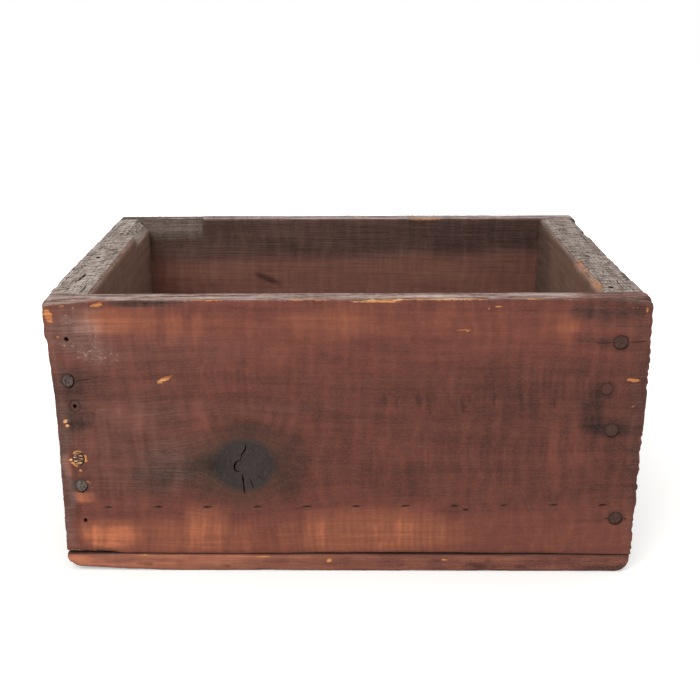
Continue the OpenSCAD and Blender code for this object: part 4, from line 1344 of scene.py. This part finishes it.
def nail_tree():
    """Puts a nail at each point of a mesh, driven the way that the point's attribute says."""
    tree, given = new_shape_tree("driven_nails", [
        *((name, "Float") for name in ("Head Radius", "Head Thickness", "Shank Radius", "Length",
                                       "Point Length", "Dome", "Dents")),
        ("Steel", "Material")])
    head = raised(tree, domed_head(tree, given), given["Head Thickness"], 0.5)
    length = add(tree, "ShaderNodeMath", {0: given["Length"], 1: given["Point Length"]},
                 operation="SUBTRACT")
    shank = add(tree, "GeometryNodeMeshCylinder",
                {"Vertices": 12, "Side Segments": 1, "Radius": given["Shank Radius"], "Depth": length})
    shank = raised(tree, shank, length, 0.5)
    point = add(tree, "GeometryNodeMeshCone",
                {"Vertices": 12, "Radius Top": 0.2 * MM, "Radius Bottom": given["Shank Radius"],
                 "Depth": given["Point Length"]})
    point = raised(tree, point, length)
    whole = tree.nodes.new("GeometryNodeJoinGeometry")
    for part in (head, shank, point):
        tree.links.new(part, whole.inputs[0])
    drive = add(tree, "GeometryNodeInputNamedAttribute", {"Name": "drive"}, data_type="FLOAT_VECTOR")
    turn = add(tree, "FunctionNodeAlignRotationToVector", {"Vector": drive}, axis="Z")
    placed = add(tree, "GeometryNodeInstanceOnPoints",
                 {"Points": given["Geometry"], "Instance": whole.outputs[0], "Rotation": turn})
    real = add(tree, "GeometryNodeRealizeInstances", {"Geometry": placed})
    hand_out(tree, real, 2.4, given["Dents"], given["Steel"])
    return tree


def grow(name, places, ways, levels, tree, inputs):
    """Runs a node tree on points that carry a way and a level, and keeps the mesh that it makes."""
    data = bpy.data.meshes.new(name)
    data.from_pydata([tuple(place) for place in places], [], [])
    kept = data.attributes.new(ways[0], "FLOAT_VECTOR", "POINT")
    kept.data.foreach_set("vector", [part for way in ways[1] for part in way])
    kept = data.attributes.new(levels[0], "FLOAT", "POINT")
    kept.data.foreach_set("value", levels[1])
    points = bpy.data.objects.new(name + "_points", data)
    bpy.context.scene.collection.objects.link(points)
    maker = points.modifiers.new("nodes", "NODES")
    maker.node_group = tree
    sockets = {item.name: item.identifier for item in tree.interface.items_tree if item.in_out == "INPUT"}
    for key, value in inputs.items():
        maker[sockets[key]] = value
    made = bpy.data.meshes.new_from_object(points.evaluated_get(bpy.context.evaluated_depsgraph_get()))
    points.modifiers.clear()
    bpy.data.objects.remove(points)
    made.name = name
    made.shade_smooth()
    made.set_sharp_from_angle(angle=math.radians(40))
    piece = bpy.data.objects.new(name, made)
    bpy.context.scene.collection.objects.link(piece)
    return piece


def make_nails(name, prefixes, sizes, tree, steel, struck):
    """One mesh with all the nails of a kind, each where its node has it."""
    heads, drives, nodes, shines = [], [], [], []
    for node in sorted(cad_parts):
        if not node.startswith(prefixes):
            continue
        low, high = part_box(node)
        middle = (low + high) / 2
        axis = max(range(3), key=lambda k: high[k] - low[k])
        drive = Vector((0, 0, 0))
        drive[axis] = -1 if node.startswith("back") else 1
        head = middle.copy()
        head[axis] = (high if drive[axis] < 0 else low)[axis]
        heads.append(head)
        drives.append(drive)
        nodes.append(node)
        shines.append(struck.get(node, 0))
    piece = grow(name, heads, ("drive", drives), ("struck", shines), tree, {**sizes, "Steel": steel})
    return piece, nodes


def nail_sizes(node, head_thickness, shank_radius, point_length):
    """Sizes of a nail in metres. Its head and its length come from its node, the others are given in mm."""
    low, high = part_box(node)
    spans = sorted(high - low)
    return {"Head Radius": spans[0] / 2 - 0.05 * MM, "Head Thickness": head_thickness * MM,
            "Shank Radius": shank_radius * MM, "Length": spans[2], "Point Length": point_length * MM,
            "Dome": 0.3 * MM, "Dents": 0.35 * MM}


# Putting the box together

# Planed pine under shellac: smooth and red brown with a soft gloss, its grain faint under the finish
face_finish = pine("shellacked_pine_planed", FACE_BROWNS, GREYS, polish=0.46)
# Sawn and weathered pine: grey and dull, with raised fibres and the slanting scores of the saw
left_finish = pine("weathered_pine_sawn_left", END_BROWNS, GREYS, polish=0.62, chatter=0.01,
                   saw_way=(0.55, 0.83))
right_finish = pine("weathered_pine_sawn_right", END_BROWNS, GREYS, polish=0.62, chatter=0.01,
                    saw_way=(-0.2, 0.98))
# Rough-sawn pine: dull, red brown where it was finished, and grey and coarse underneath
plank_finish = pine("rough_pine_sawn", FACE_BROWNS, GREYS, polish=0.6, chatter=0.01)

wooden = [
    (make_front_board(face_finish), "front_board", "face_board"),
    (make_back_board(face_finish), "back_board", "face_board"),
    (make_end_board("left", left_finish), "left_end_board", "end_board"),
    (make_end_board("right", right_finish), "right_end_board", "end_board"),
    (make_plank("wide_plank_worn", "bottom_wide_plank", plank_finish, 41), "bottom_wide_plank",
     "bottom_plank"),
    (make_plank("narrow_plank_worn", "bottom_narrow_plank", plank_finish, 43), "bottom_narrow_plank",
     "bottom_plank"),
]
for piece, node, slot in wooden:
    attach(piece, "root")
    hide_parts(node)

# One nail of the front tore the wood over its head: bright slivers still lie across it
low, high = box_mm("front_left_nail_2")
head_x, head_y, head_z = (low[0] + high[0]) / 2, low[1] + SLIVER_SUNK, (low[2] + high[2]) / 2
for from_x, to_x, from_z, to_z in TORN_OVER:
    SLIVERS["face_board"].append(((head_x + from_x, head_y, head_z + from_z),
                                  (head_x + to_x, head_y, head_z + to_z), 1))

fibres = torn_pine()
torn = sliver_tree()
for slot, found in SLIVERS.items():
    places = np.array([start for start, _, _ in found]) * MM
    ways = np.array([end for _, end, _ in found]) * MM - places
    fresh = [level for _, _, level in found]
    inputs = {"Least Width": 0.3 * MM, "Most Width": 0.6 * MM, "Bend": 0.3 * MM, "Seed": 7, "Wood": fibres}
    piece = grow(slot + "_slivers", places, ("way", ways), ("fresh", fresh), torn, inputs)
    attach(piece, "root")

steel = rusted_wire_nail()
driven = nail_tree()
for name, prefixes, sizes, struck in (
        ("side_nails", FRONT_NAILS + BACK_NAILS, nail_sizes("front_left_nail_1", 1.1, 1.45, 4), STRUCK),
        ("bottom_nails", BOTTOM_NAILS, nail_sizes("bottom_left_nail_1", 1.0, 1.25, 4), {})):
    piece, nodes = make_nails(name, prefixes, sizes, driven, steel, struck)
    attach(piece, "root")
    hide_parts(*nodes)


# Floor, light and camera

# How bright the world is to the rays that light the box, and the floor's glow under the box
WORLD_LEVEL, FLOOR_GLOW = 0.55, 0.35


def seen_rays(tree):
    """1 for rays from the camera, of gloss and of transmission, and 0 for the rays that only light."""
    rays = tree.nodes.new("ShaderNodeLightPath").outputs
    seen = add(tree, "ShaderNodeMath", {0: rays["Is Camera Ray"], 1: rays["Is Glossy Ray"]},
               operation="MAXIMUM")
    return add(tree, "ShaderNodeMath", {0: seen, 1: rays["Is Transmission Ray"]}, operation="MAXIMUM")


def white_surroundings():
    """A white world that lights the box plainly, and that the camera and gloss see as white."""
    world = bpy.data.worlds.new("studio")
    bpy.context.scene.world = world
    world.use_nodes = True
    tree = world.node_tree
    tree.nodes.clear()
    level = add(tree, "ShaderNodeMapRange", {0: seen_rays(tree), 1: 0, 2: 1, 3: WORLD_LEVEL, 4: 1})
    light = add(tree, "ShaderNodeBackground", {"Color": (1, 1, 1, 1), "Strength": level})
    add(tree, "ShaderNodeOutputWorld", {"Surface": light})


def make_floor():
    """A pale floor that the camera and gloss see as white, but for the box's faint shadow."""
    material, tree = new_material("studio_paper")
    place = add(tree, "ShaderNodeTexCoord", {}, out="Object")
    away = add(tree, "ShaderNodeVectorMath", {0: place}, out="Value", operation="LENGTH")
    glow = add(tree, "ShaderNodeMapRange", {0: away, 1: 0.25, 2: 0.7, 3: FLOOR_GLOW, 4: 1})
    glow = add(tree, "ShaderNodeMath", {0: seen_rays(tree), 1: glow}, operation="MULTIPLY")
    shader = add(tree, "ShaderNodeBsdfPrincipled",
                 {"Base Color": linear("#f2f2ef"), "Roughness": 0.9, "Specular IOR Level": 0.1,
                  "Emission Color": (1, 1, 1, 1), "Emission Strength": glow})
    add(tree, "ShaderNodeOutputMaterial", {"Surface": shader})
    data = bpy.data.meshes.new("floor")
    reach = 4
    data.from_pydata([(-reach, -reach, 0), (reach, -reach, 0), (reach, reach, 0), (-reach, reach, 0)],
                     [], [(0, 1, 2, 3)])
    data.materials.append(material)
    floor = bpy.data.objects.new("floor", data)
    bpy.context.scene.collection.objects.link(floor)


def area_light(name, place, aim, size, power):
    """A soft square lamp that looks at a point. Its size is in metres and its power in watts."""
    lamp = bpy.data.lights.new(name, "AREA")
    lamp.size = size
    lamp.energy = power
    lit = bpy.data.objects.new(name, lamp)
    lit.location = place
    lit.rotation_euler = (Vector(aim) - Vector(place)).to_track_quat("-Z", "Y").to_euler()
    bpy.context.scene.collection.objects.link(lit)


white_surroundings()
make_floor()
area_light("window", (-0.7, -1.1, 1.3), (0, 0, 0.08), 1.1, 14)
area_light("ceiling", (0.3, 0.2, 1.7), (0, 0, 0.1), 1.4, 9)

# The camera stands 0.67 m in front of the box's middle and looks 18.6 degrees down
view = bpy.data.cameras.new("camera")
view.sensor_width = 36
view.lens = 56.26
camera = bpy.data.objects.new("camera", view)
camera.location = (-0.0075, -0.6704, 0.3232)
camera.rotation_euler = (math.radians(71.416), math.radians(-0.539), math.radians(-0.62))
bpy.context.scene.collection.objects.link(camera)
bpy.context.scene.camera = camera
bpy.context.scene.view_settings.view_transform = "Standard"
